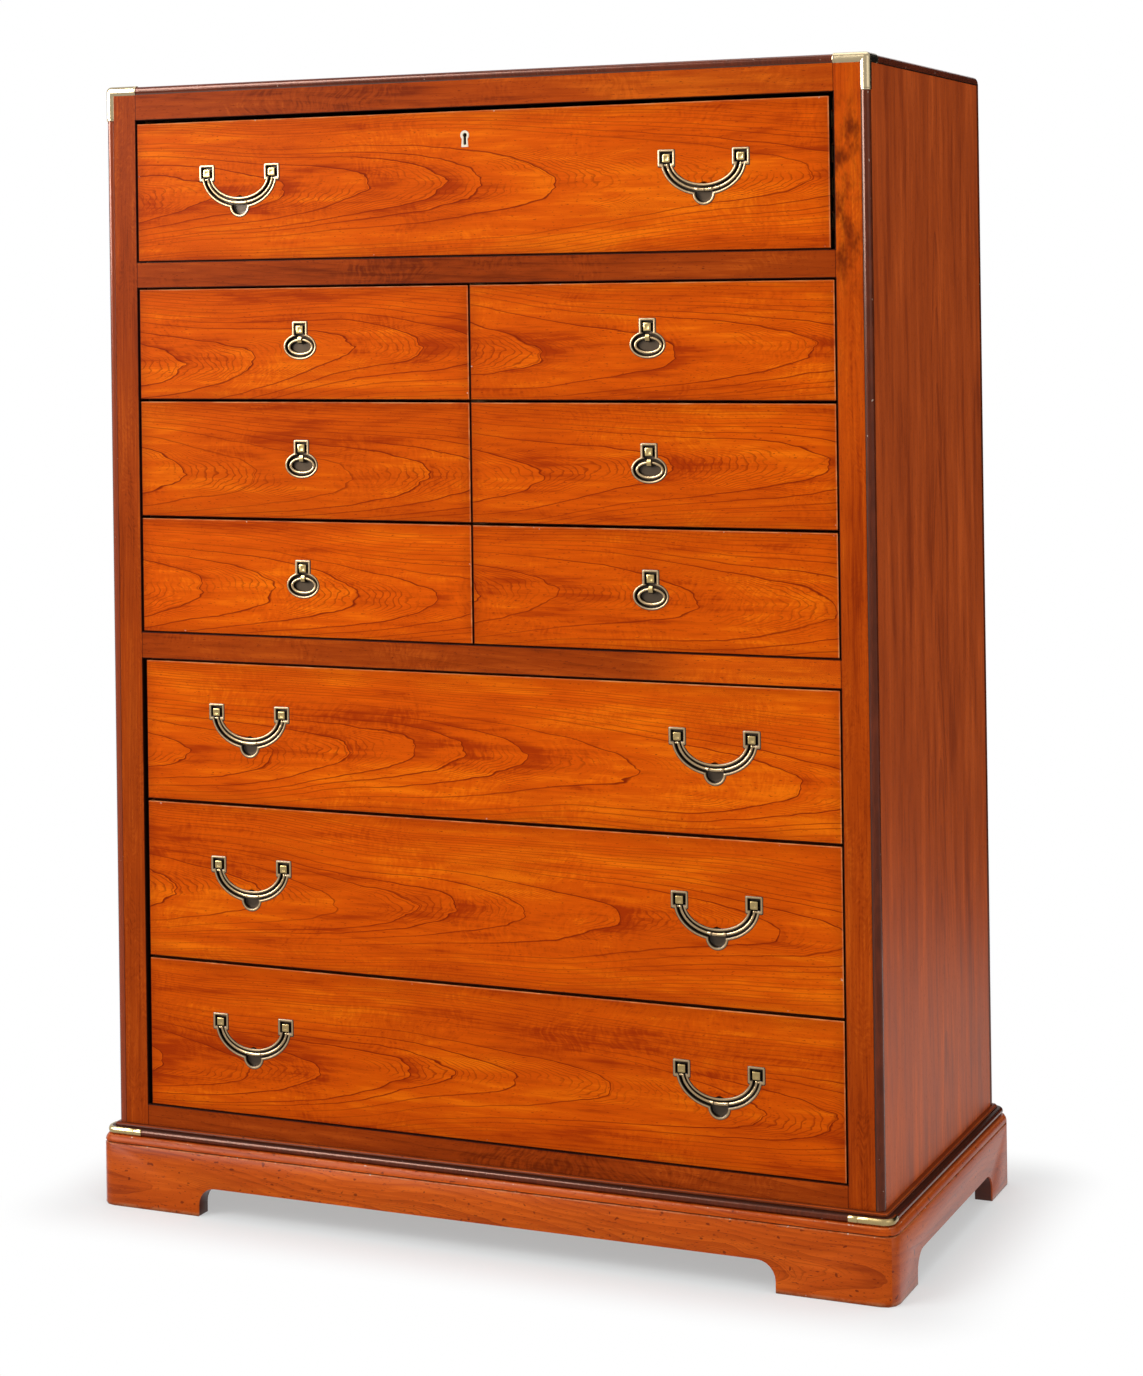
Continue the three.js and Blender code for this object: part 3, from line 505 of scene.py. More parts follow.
@dataclass(frozen=True)
class MetalFinish:
    """A metal with a worn, darkened surface."""

    bright: Colour
    tarnish: Colour
    recess: Colour
    gilt: Colour = (0.31, 0.22, 0.085)
    roughness: float = 0.26
    worn_scale: float = 120.0
    scratch_scale: float = 900.0
    worn_share: float = 0.25
    relief: float = 0.00001
    coat: float = 0.0

    def material(
        self, name: str, shade: Optional[Shade] = None, gilt_before: Optional[float] = None
    ) -> bpy.types.Material:
        """Makes the finish.

        Args:
            name: the material's name.
            shade: gives how much painted shade a place takes, from 0 to 1.
            gilt_before: the Y, in millimetres, in front of which the metal is yellower.

        Returns:
            The material.
        """
        shader = Shader(name)
        x, y, z = shader.place()
        scale = self.worn_scale
        patch = shader.noise(x * scale, y * scale, z * scale, 3.0, 0.6)
        fine = shader.noise(x * self.scratch_scale, y * 300.0, z * 300.0, 2.0)
        worn = patch.step(0.38, 0.70)
        colour = shader.blend(worn * self.worn_share, self.bright, self.tarnish)
        if gilt_before is not None:
            colour = shader.blend((y < gilt_before * MILLIMETRE) * 0.85, colour, self.gilt)
        gloss = self.roughness + worn * 0.08 + (fine - 0.5) * 0.06
        if shade is not None:
            deep = shade(shader, x, y, z)
            # Painted shade where the shade function gives it, in the recess colour
            colour = shader.blend(deep, colour, self.recess)
            gloss = gloss + deep * 0.22
        height = patch * 0.6 + fine * 0.4
        return shader.surface(
            Base_Color=colour,
            Metallic=1.0,
            Roughness=gloss,
            Normal=shader.bump(height, self.relief),
            Coat_Weight=self.coat,
            Coat_Roughness=0.14,
        )


CHERRY = WoodFinish(
    pale=(0.88, 0.172, 0.003),
    middle=(0.69, 0.092, 0.002),
    dark=(0.40, 0.036, 0.002),
    line=(0.15, 0.011, 0.0015),
    arch=80.0,
    arch_close=0.0,
    arch_spread=12.0,
    sweep=0.09,
    fine_strength=0.40,
    cloud_strength=0.52,
    streak_strength=0.88,
    fleck_strength=0.68,
    ripple=0.5,
    specular=0.010,
)
RAIL_CHERRY = WoodFinish(
    pale=(0.50, 0.080, 0.006),
    middle=(0.33, 0.044, 0.0035),
    dark=(0.17, 0.020, 0.002),
    line=(0.07, 0.008, 0.002),
    ring=0.16,
    line_strength=0.5,
    cloud_strength=0.5,
    fleck_strength=0.7,
    ripple=0.9,
    specular=0.016,
)
SIDE_CHERRY = WoodFinish(
    pale=(0.60, 0.092, 0.008),
    middle=(0.45, 0.062, 0.005),
    dark=(0.29, 0.035, 0.0035),
    line=(0.13, 0.012, 0.003),
    arch=400.0,
    sweep=0.25,
    line_strength=0.22,
    fine_strength=0.14,
    cloud_strength=0.30,
    streak_strength=1.8,
    streak_scale=48.0,
    fleck_strength=0.6,
    roughness=0.46,
    specular=0.21,
    glare=(0.88, 1.0, 0.28),
)
PLINTH_CHERRY = WoodFinish(
    pale=(0.74, 0.140, 0.010),
    middle=(0.56, 0.087, 0.006),
    dark=(0.34, 0.044, 0.004),
    line=(0.11, 0.012, 0.003),
    arch=250.0,
    sweep=0.5,
    line_strength=0.16,
    fine_strength=0.30,
    cloud_strength=0.35,
    streak_strength=1.0,
    pore=0.7,
    specular=0.05,
)
LINING = WoodFinish(
    pale=(0.62, 0.38, 0.175),
    middle=(0.50, 0.29, 0.125),
    dark=(0.34, 0.185, 0.075),
    line=(0.22, 0.11, 0.04),
    arch=150.0,
    line_strength=0.35,
    fine_strength=0.25,
    roughness=0.6,
    specular=0.3,
)
# Painted shade: near black in the gaps round the drawers, on the frame round each opening and on
# the drawers' edge faces
GAP_SHADE = (0.012, 0.004, 0.0025)
# Painted shade on the drawer boxes' tails, where they show in the gaps
TAIL_SHADE = (0.035, 0.014, 0.007)
# Painted shade in the plinth's crevices, under its arches and along its foot
CREVICE_SHADE = (0.035, 0.010, 0.006)
# Pale arrises of the faces: wear, with a painted highlight on the top and right edges that face the
# light
LIT_AND_RUBBED_FACE_EDGE = (0.86, 0.34, 0.12)
# Pale arrises of the plinth: wear, with a painted highlight along its upper edges
LIT_AND_RUBBED_PLINTH_EDGE = (0.80, 0.32, 0.13)
FACE_NICK = (0.78, 0.62, 0.48)
PLINTH_NICK = (0.74, 0.62, 0.52)
BEAD_PALE = (0.120, 0.020, 0.006)
BEAD_MIDDLE = (0.075, 0.012, 0.004)
# Painted shade in the quirks beside the beads and along the base bead's edges
BEAD_QUIRK_SHADE = (0.016, 0.006, 0.004)
BEAD_RUBBED = (0.18, 0.028, 0.008)
BEAD_WORN_FRONT = (0.30, 0.046, 0.012)
BEAD_NICK = (0.55, 0.42, 0.33)
BEAD_GLARE = (1.0, 0.62, 0.48)
BONE_PALE = (0.80, 0.70, 0.52)
BONE_STREAK = (0.62, 0.49, 0.31)
BONE_STAIN = (0.35, 0.22, 0.10)
PAPER_COOL = (0.83, 0.87, 0.875)
PAPER_WARM = (0.86, 0.90, 0.905)
WHITE = (1.0, 1.0, 1.0)
UNLIT = (0.02, 0.02, 0.02)

BRASS = MetalFinish(
    bright=(0.31, 0.215, 0.115),
    tarnish=(0.18, 0.115, 0.055),
    recess=(0.026, 0.018, 0.012),
    coat=0.22,
)
CORNER_BRASS = MetalFinish(
    bright=(0.37, 0.295, 0.175),
    tarnish=(0.25, 0.18, 0.095),
    recess=(0.08, 0.055, 0.03),
    roughness=0.20,
    worn_share=0.12,
    relief=0.000002,
    coat=0.3,
)
BASE_BRASS = MetalFinish(
    bright=(0.36, 0.265, 0.115),
    tarnish=(0.22, 0.15, 0.06),
    recess=(0.08, 0.055, 0.03),
    roughness=0.22,
    worn_share=0.35,
    relief=0.000003,
    coat=0.2,
)
IRON = MetalFinish(
    bright=(0.30, 0.29, 0.27),
    tarnish=(0.16, 0.13, 0.11),
    recess=(0.05, 0.04, 0.03),
    roughness=0.42,
    relief=0.00008,
)


# Meshes


SMOOTH_UNDER = 35.0
WELD = 1e-7


class Mesh:
    """Collects faces in millimetres and turns them into a piece."""

    def __init__(self) -> None:
        """Starts with nothing."""
        self.points: list[Point] = []
        self.faces: list[tuple[int, ...]] = []

    def add_points(self, points: Iterable[Point]) -> int:
        """Adds points and returns the number of the first."""
        first = len(self.points)
        self.points.extend(tuple(point) for point in points)
        return first

    def lofted(self, loops: Sequence[Sequence[Point]], closed: bool = False) -> "Mesh":
        """Joins loops of equal length with quads and fills open ends.

        Args:
            loops: the loops, in order.
            closed: whether the last loop joins the first.

        Returns:
            The mesh itself.
        """
        count = len(loops[0])
        first = self.add_points(point for loop in loops for point in loop)
        spans = len(loops) if closed else len(loops) - 1
        for i in range(spans):
            a = first + i * count
            b = first + (i + 1) % len(loops) * count
            for j in range(count):
                k = (j + 1) % count
                self.faces.append((a + j, a + k, b + k, b + j))
        if not closed:
            last = first + (len(loops) - 1) * count
            self.faces.append(tuple(range(first + count - 1, first - 1, -1)))
            self.faces.append(tuple(range(last, last + count)))
        return self

    def swept(
        self, path: Sequence[Point], radii: Sequence[float], sides: int = 16, closed: bool = False
    ) -> "Mesh":
        """Runs a circle along a path.

        Args:
            path: the middle of the circle at each step.
            radii: its radius at each step.
            sides: how many faces go round it.
            closed: whether the path is a ring.

        Returns:
            The mesh itself.
        """
        spots = [Vector(point) for point in path]
        count = len(spots)
        loops = []
        normal = None
        for i, spot in enumerate(spots):
            before = spots[(i - 1) % count] if closed or i else spot
            after = spots[(i + 1) % count] if closed or i < count - 1 else spot
            tangent = (after - before).normalized()
            if not tangent.length:
                tangent = Vector((1, 0, 0))
            if normal is None:
                guide = Vector((0, 1, 0)) if abs(tangent.y) < 0.9 else Vector((1, 0, 0))
                normal = tangent.cross(guide).normalized()
            normal = (normal - tangent * normal.dot(tangent)).normalized()
            other = tangent.cross(normal)
            turns = (2 * math.pi * j / sides for j in range(sides))
            loops.append(
                [
                    tuple(spot + radii[i] * (normal * math.cos(turn) + other * math.sin(turn)))
                    for turn in turns
                ]
            )
        return self.lofted(loops, closed=closed)

    def ball(self, centre: Point, radius: float, sides: int = 24) -> "Mesh":
        """Adds a round end or corner.

        Args:
            centre: its middle.
            radius: its radius.
            sides: how many faces go round it.

        Returns:
            The mesh itself.
        """
        x, y, z = centre
        rings = sides // 2
        loops = []
        for i in range(1, rings):
            lift = math.pi * i / rings - math.pi / 2
            out = radius * math.cos(lift)
            level = z + radius * math.sin(lift)
            circle = arc(x, y, out, out, 0, 2 * math.pi * (sides - 1) / sides, sides - 1)
            loops.append([(a, b, level) for a, b in circle])
        return self.lofted(loops)

    def moved(self, dx: float, dy: float, dz: float) -> "Mesh":
        """A copy that stands somewhere else."""
        copy = Mesh()
        copy.points = [(x + dx, y + dy, z + dz) for x, y, z in self.points]
        copy.faces = list(self.faces)
        return copy

    def made(self, name: str, material: bpy.types.Material) -> bpy.types.Object:
        """Turns the faces into an object.

        Args:
            name: its name.
            material: its material.

        Returns:
            The object.
        """
        data = bpy.data.meshes.new(name)
        data.from_pydata([Vector(p) * MILLIMETRE for p in self.points], [], self.faces)
        builder = bmesh.new()
        builder.from_mesh(data)
        bmesh.ops.remove_doubles(builder, verts=builder.verts, dist=WELD)
        bmesh.ops.recalc_face_normals(builder, faces=builder.faces)
        for face in builder.faces:
            face.smooth = True
        limit = math.radians(SMOOTH_UNDER)
        for edge in builder.edges:
            edge.smooth = len(edge.link_faces) == 2 and edge.calc_face_angle() < limit
        builder.to_mesh(data)
        builder.free()
        data.materials.append(material)
        piece = bpy.data.objects.new(name, data)
        bpy.context.scene.collection.objects.link(piece)
        return piece


def arc(
    cx: float, cy: float, rx: float, ry: float, start: float, end: float, steps: int
) -> list[Flat]:
    """Points along part of an ellipse, with angles in radians."""
    turns = [start + (end - start) * i / steps for i in range(steps + 1)]
    return [(cx + rx * math.cos(turn), cy + ry * math.sin(turn)) for turn in turns]


def middle_of(node: str) -> Flat:
    """The middle of a CAD node's box, as X and Z in millimetres."""
    low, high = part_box(node)
    return (low.x + high.x) / 2 / MILLIMETRE, (low.z + high.z) / 2 / MILLIMETRE


def fixed(piece: bpy.types.Object, body: str, slot: str, *nodes: str) -> bpy.types.Object:
    """Puts a piece on its body in place of CAD nodes.

    Args:
        piece: the piece.
        body: the body that it moves with.
        slot: not used.
        nodes: the CAD nodes that it stands for.

    Returns:
        The piece.
    """
    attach(piece, body)
    if nodes:
        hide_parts(*nodes)
    return piece


class EdgeWork:
    """Eased edges and clean shading for the carried-over boards."""

    seam: float = 2e-6
    sharp_on_rounded: float = 50.0
    sharp_on_flat: float = 35.0

    def __init__(self) -> None:
        """Builds the shading groups that the boards share."""
        self.rounded = self._shading("rounded_board", True)
        self.flat = self._shading("flat_board", False)

    def _shading(self, name: str, smooth: bool) -> bpy.types.NodeTree:
        """Makes a group that closes a board's seams and sets how its faces are shaded.

        Args:
            name: the group's name.
            smooth: whether curved faces run into each other.

        Returns:
            The group.
        """
        tree = bpy.data.node_groups.new(name, "GeometryNodeTree")
        tree.interface.new_socket("Geometry", in_out="INPUT", socket_type="NodeSocketGeometry")
        tree.interface.new_socket("Geometry", in_out="OUTPUT", socket_type="NodeSocketGeometry")
        start = tree.nodes.new("NodeGroupInput")
        weld = tree.nodes.new("GeometryNodeMergeByDistance")
        weld.inputs["Distance"].default_value = self.seam
        faces = tree.nodes.new("GeometryNodeSetShadeSmooth")
        faces.inputs["Shade Smooth"].default_value = smooth
        end = tree.nodes.new("NodeGroupOutput")
        tree.links.new(start.outputs[0], weld.inputs["Geometry"])
        tree.links.new(weld.outputs["Geometry"], faces.inputs["Geometry"])
        tree.links.new(faces.outputs["Geometry"], end.inputs[0])
        return tree

    def ease(self, node: str, width: float, segments: int = 2, rounded: bool = False) -> None:
        """Rounds a board's arrises a little.

        Args:
            node: the CAD node.
            width: the width of the easing, in millimetres.
            segments: its facets.
            rounded: whether the board has mouldings or round corners.
        """
        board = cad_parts[node]
        smooth = board.modifiers.new("smooth", "NODES")
        smooth.node_group = self.rounded if rounded else self.flat
        bevel = board.modifiers.new("eased edges", "BEVEL")
        bevel.width = width * MILLIMETRE
        bevel.segments = segments
        bevel.limit_method = "ANGLE"
        sharp = self.sharp_on_rounded if rounded else self.sharp_on_flat
        bevel.angle_limit = math.radians(sharp)
        bevel.harden_normals = rounded
        bevel.use_clamp_overlap = True


def wire_shade(middle: float, radius: float, collar: Optional[Flat] = None) -> Shade:
    """Painted shade on a round wire, behind its front line.

    Args:
        middle: the Y of the wire's middle, in millimetres.
        radius: the wire's radius.
        collar: how far its collar is from the chest's middle, and half the collar's length.

    Returns:
        A function for the metal's shade.
    """
    r = radius * MILLIMETRE

    def shade(shader: Shader, x: Sock, y: Sock, z: Sock) -> Sock:
        """Painted shade down the sides of the wire and at both ends of its collar."""
        dark = (y - middle * MILLIMETRE).step(-0.35 * r, 0.25 * r) * 0.85
        if collar is None:
            return dark
        end = abs(abs(abs(x) - collar[0] * MILLIMETRE) - collar[1] * MILLIMETRE)
        return dark.above(end.step(0.0009, 0.0004) * 0.9)

    return shade


def recess_shade(face: float) -> Shade:
    """How much painted shade a plate takes where it lies behind a face, given the Y of the face in
    millimetres.
    """

    def shade(shader: Shader, x: Sock, y: Sock, z: Sock) -> Sock:
        """Painted shade in the recess and down both edges of the rim."""
        return (y - face * MILLIMETRE).step(-0.00080, -0.00050) * 0.97

    return shade


def keyhole_shade(shader: Shader, x: Sock, y: Sock, z: Sock) -> Sock:
    """Where painted shade goes: 1 behind the keyhole's bone inlay and 0 elsewhere.

    Args:
        shader: the shader to write in.
        x: the place along the chest.
        y: the place through it.
        z: the height.

    Returns:
        The mask.
    """
    low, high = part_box("keyhole_escutcheon")
    wide = abs(x - (low.x + high.x) / 2) < (high.x - low.x) * 0.35
    tall = abs(z - (low.z + high.z) / 2) < (high.z - low.z) * 0.48
    return wide * tall * (y > low.y + 0.0004)


def dress(node: str, material: bpy.types.Material) -> None:
    """Gives a CAD node its material."""
    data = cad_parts[node].data
    data.materials.clear()
    data.materials.append(material)


# Sub-assemblies


@dataclass
class Case:
    """The case: frame, sides, top, back, dark beads and brass corners. Sizes in millimetres."""

    edges: EdgeWork
    half_width: float = 486.5
    half_depth: float = 224.0
    bottom: float = 97.5
    top: float = 1361.25
    bead_inset: float = 4.7
    bead_radius: float = 5.5
    bead_size: float = 9.0
    quirk: float = 1.25
    wear_top: float = 1352.0
    bend_steps: int = 10
    middle_rail: float = 682.0
    middle_rail_half: float = 18.0
    base_bead_height: float = 89.7
    corner_radius: float = 10.0
    opening_half: float = 446.0
    openings: tuple[Flat, ...] = ((122.75, 665.75), (698.0, 1116.5), (1148.0, 1320.75))
    back_board: float = 189.9
    brass_radius: float = 6.7
    brass_front_arm: float = 41.0
    brass_down_arm: float = 40.0
    brass_side_arm: float = 32.0

    def build(self) -> None:
        """Dresses the boards and makes the beads and the brass."""
        self.boards()
        self.frame_face()
        self.beads()
        for hand in Hand:
            self.brass_corner(hand)

    def boards(self) -> None:
        """Sides, top, bottom, back and dust boards."""
        for hand in Hand:
            name = f"side_{hand.name.lower()}"
            board = Board(Grain.ALONG_Z, 0.02 * hand.value, 2.0 + hand.value, Grain.ALONG_Y)
            dress(name, self.side_material(name, board, hand))
            self.edges.ease(name, 0.5)
        across, level = Grain.ALONG_Y, Grain.ALONG_X
        plain = (
            ("top_panel", "top_cherry", SIDE_CHERRY, Board(level, 0.03, 8.0, across), 2),
            ("bottom_panel", "bottom_boards", LINING, Board(level, 0.0, 12.0, across), 2),
            ("small_drawer_divider", "dust_boards", LINING, Board(across, 0.0, 17.0, level), 1),
        )
        for node, name, finish, board, segments in plain:
            dress(node, finish.material(name, board))
            self.edges.ease(node, 0.5, segments)
        dress("back_panel", self.back_material())
        self.edges.ease("back_panel", 0.3, 1)

    def side_material(self, name: str, board: Board, hand: Hand) -> bpy.types.Material:
        """Polished outside, plain wood inside.

        Args:
            name: the side's name.
            board: how it was cut.
            hand: which side it is.

        Returns:
            The material.
        """
        shader = Shader(f"{name}_wood")
        colour, gloss, height = SIDE_CHERRY.pattern(shader, board)
        x, y, z = shader.place()
        inner = (x * hand.value) < (self.half_width - self.bead_size - 0.5) * MILLIMETRE
        lining = shader.noise(y * 8.0, z * 60.0, x * 60.0, 2.0)
        raw = shader.blend(lining, LINING.dark, LINING.pale)
        colour = shader.blend(inner, colour, raw)
        gloss = shader.choose(inner, gloss, 0.6)
        return SIDE_CHERRY.finish(shader, colour, gloss, height)

    def back_material(self) -> bpy.types.Material:
        """Five upright boards of pale wood, each cut from its own log."""
        shader = Shader("back_boards")
        x, y, z = shader.place()
        width = self.back_board * MILLIMETRE
        number = shader.math("FLOOR", x / width + 0.5)
        along = z + number * 1.7
        across = x - number * width
        board = Board(Grain.ALONG_Z, seed=21.0, across=Grain.ALONG_X)
        colour, gloss, height = LINING.figure(shader, board, along, across, y + number * 3.0)
        tone = shader.noise(number * 5.3, 0.5, 0.5, 0.0)
        colour = shader.darken(colour, 0.72 + tone * 0.45)
        return LINING.finish(shader, colour, gloss, height)

    def frame_face(self) -> None:
        """Stiles with upright fibres, rails with level ones, and the joints between them."""
        shader = Shader("frame_cherry")
        x, y, z = shader.place()
        stile = abs(x) > self.opening_half * MILLIMETRE
        right = x > 0.0
        along = shader.choose(stile, x, z)
        across = shader.choose(stile, z, x * 2.2)
        board = Board(Grain.ALONG_X, seed=31.0)
        seedy = y + stile * (right * 0.35 + 0.9)
        rail, gloss, height = RAIL_CHERRY.figure(shader, board, along, across, seedy)
        warm = shader.noise(x * 1.4, z * 1.2, 4.0, 1.0)
        from_rail = abs(z - self.middle_rail * MILLIMETRE)
        lit = x.step(0.18, 0.30) * (from_rail < self.middle_rail_half * MILLIMETRE) * 0.9
        top_end = x.step(-0.45, 0.44) * (z > 1.30) * 0.50
        plain = (1 - stile) * (warm.step(0.5, 0.75) * 0.22).above(lit).above(top_end)
        orange = stile * right * (0.12 + z.step(0.35, 1.25) * 0.54) + stile * 0.12 + plain
        bright, _, _ = CHERRY.figure(shader, board, along, across, seedy)
        colour = shader.blend(orange, rail, bright)
        curl = shader.noise(x * 60.0, y, z * 34.0 + 3.0, 3.0, 0.7).step(0.38, 0.72)
        curl = curl * right * stile * z.step(1.06, 1.14) * z.step(1.325, 1.30)
        colour = shader.blend(curl * 0.95, colour, RAIL_CHERRY.dark)
        seam = abs(abs(x) - self.opening_half * MILLIMETRE) < 0.5 * MILLIMETRE
        colour = shader.blend(seam * 0.8, colour, RAIL_CHERRY.line)
        # Painted shade: black on the frame's face round each opening and on the openings' inner
        # faces
        outside = self._outside(x, z)
        inner = (y + self.half_depth * MILLIMETRE).step(0.0006, 0.0016)
        gap = (outside.step(0.0014, 0.0008) * 0.9).above(inner * (outside < 0.003))
        colour = shader.blend(gap, colour, GAP_SHADE)
        dress("face_frame", RAIL_CHERRY.finish(shader, colour, gloss, height - seam * 2.0))
        self.edges.ease("face_frame", 0.6)

    def _outside(self, x: Sock, z: Sock) -> Sock:
        """How far a place on the frame is from the nearest opening, in metres.

        Args:
            x: the place along the chest.
            z: the height.

        Returns:
            The distance, which is negative inside an opening.
        """
        side = abs(x) - self.opening_half * MILLIMETRE
        first, second, third = (
            side.above(low * MILLIMETRE - z).above(z - high * MILLIMETRE)
            for low, high in self.openings
        )
        return first.below(second).below(third)

    def _bead_section(self, inner: float) -> list[Flat]:
        """The bead's section, outwards from the inner corner of its rebate."""
        centre = self.bead_size - self.bead_inset
        chord = math.sqrt(self.bead_radius**2 - self.bead_inset**2)
        start = math.atan2(-chord, self.bead_inset)
        radius = self.bead_radius
        nose = arc(centre, centre, radius, radius, start, math.pi / 2 - start, 20)
        return [(inner, inner), (self.bead_size, inner), *nose, (inner, self.bead_size)]

    def beads(self) -> None:
        """The dark bead down the four corners and along the front and the sides of the top."""
        mesh = Mesh()
        section = self._bead_section(0.2)
        edge = self.half_width - self.bead_size
        front = -self.half_depth + self.bead_size
        rise = self.top - self.bead_size
        turn = self.top - self.bead_inset
        behind = self.half_depth - self.corner_radius
        ahead = -self.half_depth + self.bead_inset
        axis = self.top - self.corner_radius
        bends = [math.pi / 2 * i / self.bend_steps for i in range(self.bend_steps + 1)]
        for side in (-1, 1):
            levels = (self.bottom, turn)
            mesh.lofted([[(side * (edge + u), front - v, z) for u, v in section] for z in levels])
            loops = []
            for y, angle in ((ahead, 0.0), *((behind, bend) for bend in bends)):
                loop = []
                for u, v in section:
                    reach = rise + v - axis
                    place = (y + reach * math.sin(angle), axis + reach * math.cos(angle))
                    loop.append((side * (edge + u), *place))
                loops.append(loop)
            loops.append([(x, y, self.bottom) for x, y, _ in loops[-1]])
            mesh.lofted(loops)
            mesh.ball((side * (self.half_width - self.bead_inset), ahead, turn), self.bead_radius)
        ends = self.half_width - self.bead_inset
        mesh.lofted([[(x, front - u, rise + v) for u, v in section] for x in (-ends, ends)])
        material = self.bead_material()
        fixed(mesh.made("edge_bead_round", material), CASE, "ebonised", "edge_bead")

    def bead_material(self) -> bpy.types.Material:
        """Dark glossy wood with painted shade in its quirks, rubbed red in places, with small pale
        nicks.
        """
        shader = Shader("bead_wood")
        x, y, z = shader.place()
        run = x + y + z
        fibre = shader.noise(run * 14.0, (x - y) * 420.0, z * 40.0, 3.0)
        colour = shader.blend(fibre.step(0.3, 0.75), BEAD_MIDDLE, BEAD_PALE)
        rubbed = shader.noise(x * 9.0, y * 9.0, z * 9.0, 3.0, 0.65)
        colour = shader.blend(rubbed.step(0.45, 0.70) * 0.4, colour, BEAD_RUBBED)
        reach = -x - self.half_width * MILLIMETRE
        upright = (z < self.wear_top * MILLIMETRE) * (z > self.bottom * MILLIMETRE)
        upright = upright * (reach > -self.bead_size * MILLIMETRE)
        worn = upright * reach.step(-0.0016, -0.0026) * (y < -0.2)
        colour = shader.blend(worn * 0.9, colour, BEAD_WORN_FRONT)
        # Painted shade in the quirks beside the beads
        quirk = self._quirk_shade(x, y, z) * (1 - worn * 0.7)
        colour = shader.blend(quirk * 0.85, colour, BEAD_QUIRK_SHADE)
        nick = shader.noise(x * 330.0, y * 330.0, z * 190.0, 1.0).step(0.765, 0.80)
        colour = shader.blend(nick * 0.8, colour, BEAD_NICK)
        gloss = 0.13 + rubbed * 0.09 + nick * 0.3 + quirk * 0.3
        return shader.surface(
            Base_Color=colour,
            Roughness=gloss,
            Specular_IOR_Level=0.28,
            Specular_Tint=BEAD_GLARE,
            Normal=shader.bump(fibre - nick, 0.00008),
        )

    def _quirk_shade(self, x: Sock, y: Sock, z: Sock) -> Sock:
        """Where painted shade goes: 1 in the narrow flats beside the edge bead and at both edges of
        the base bead.

        Args:
            x: the place along the chest.
            y: the place through it.
            z: the height.

        Returns:
            The mask.
        """
        size = self.bead_size
        places = (
            abs(x) - (self.half_width - size) * MILLIMETRE,
            abs(y) - (self.half_depth - size) * MILLIMETRE,
            z - (self.top - size) * MILLIMETRE,
        )
        width = self.quirk * MILLIMETRE
        flats = [(place > 0.0) * (place < width) for place in places]
        edge = flats[0].above(flats[1]).above(flats[2]) * (z > self.bottom * MILLIMETRE)
        base = abs(z - self.base_bead_height * MILLIMETRE).step(0.0026, 0.0040)
        return edge.above(base * (z < self.bottom * MILLIMETRE))

    def brass_corner(self, hand: Hand) -> None:
        """A three-armed brass corner over the bead."""
        side = hand.value
        inset = self.bead_inset
        corner = (side * (self.half_width - inset), inset - self.half_depth, self.top - inset)
        mesh = Mesh()
        arms = (
            (Vector((-side, 0, 0)), self.brass_front_arm - inset),
            (Vector((0, 0, -1)), self.brass_down_arm - inset),
            (Vector((0, 1, 0)), self.brass_side_arm - inset),
        )
        lip = 0.5
        outer = self.brass_radius
        for way, length in arms:
            rings = (
                (0.0, outer),
                (length - 2.6, outer),
                (length - 2.2, outer - 0.35),
                (length - 1.7, outer),
                (length - lip, outer),
                (length - lip / 3, outer - lip / 3),
                (length, outer - lip),
                (length, self.bead_radius),
            )
            path = [tuple(Vector(corner) + way * stop) for stop, _ in rings]
            mesh.swept(path, [radius for _, radius in rings], 40)
        mesh.ball(corner, self.brass_radius, 40)
        name = f"top_corner_{hand.name.lower()}"
        material = CORNER_BRASS.material(f"{name}_finish")
        fixed(mesh.made(f"{name}_brass", material), CASE, "brass", name)


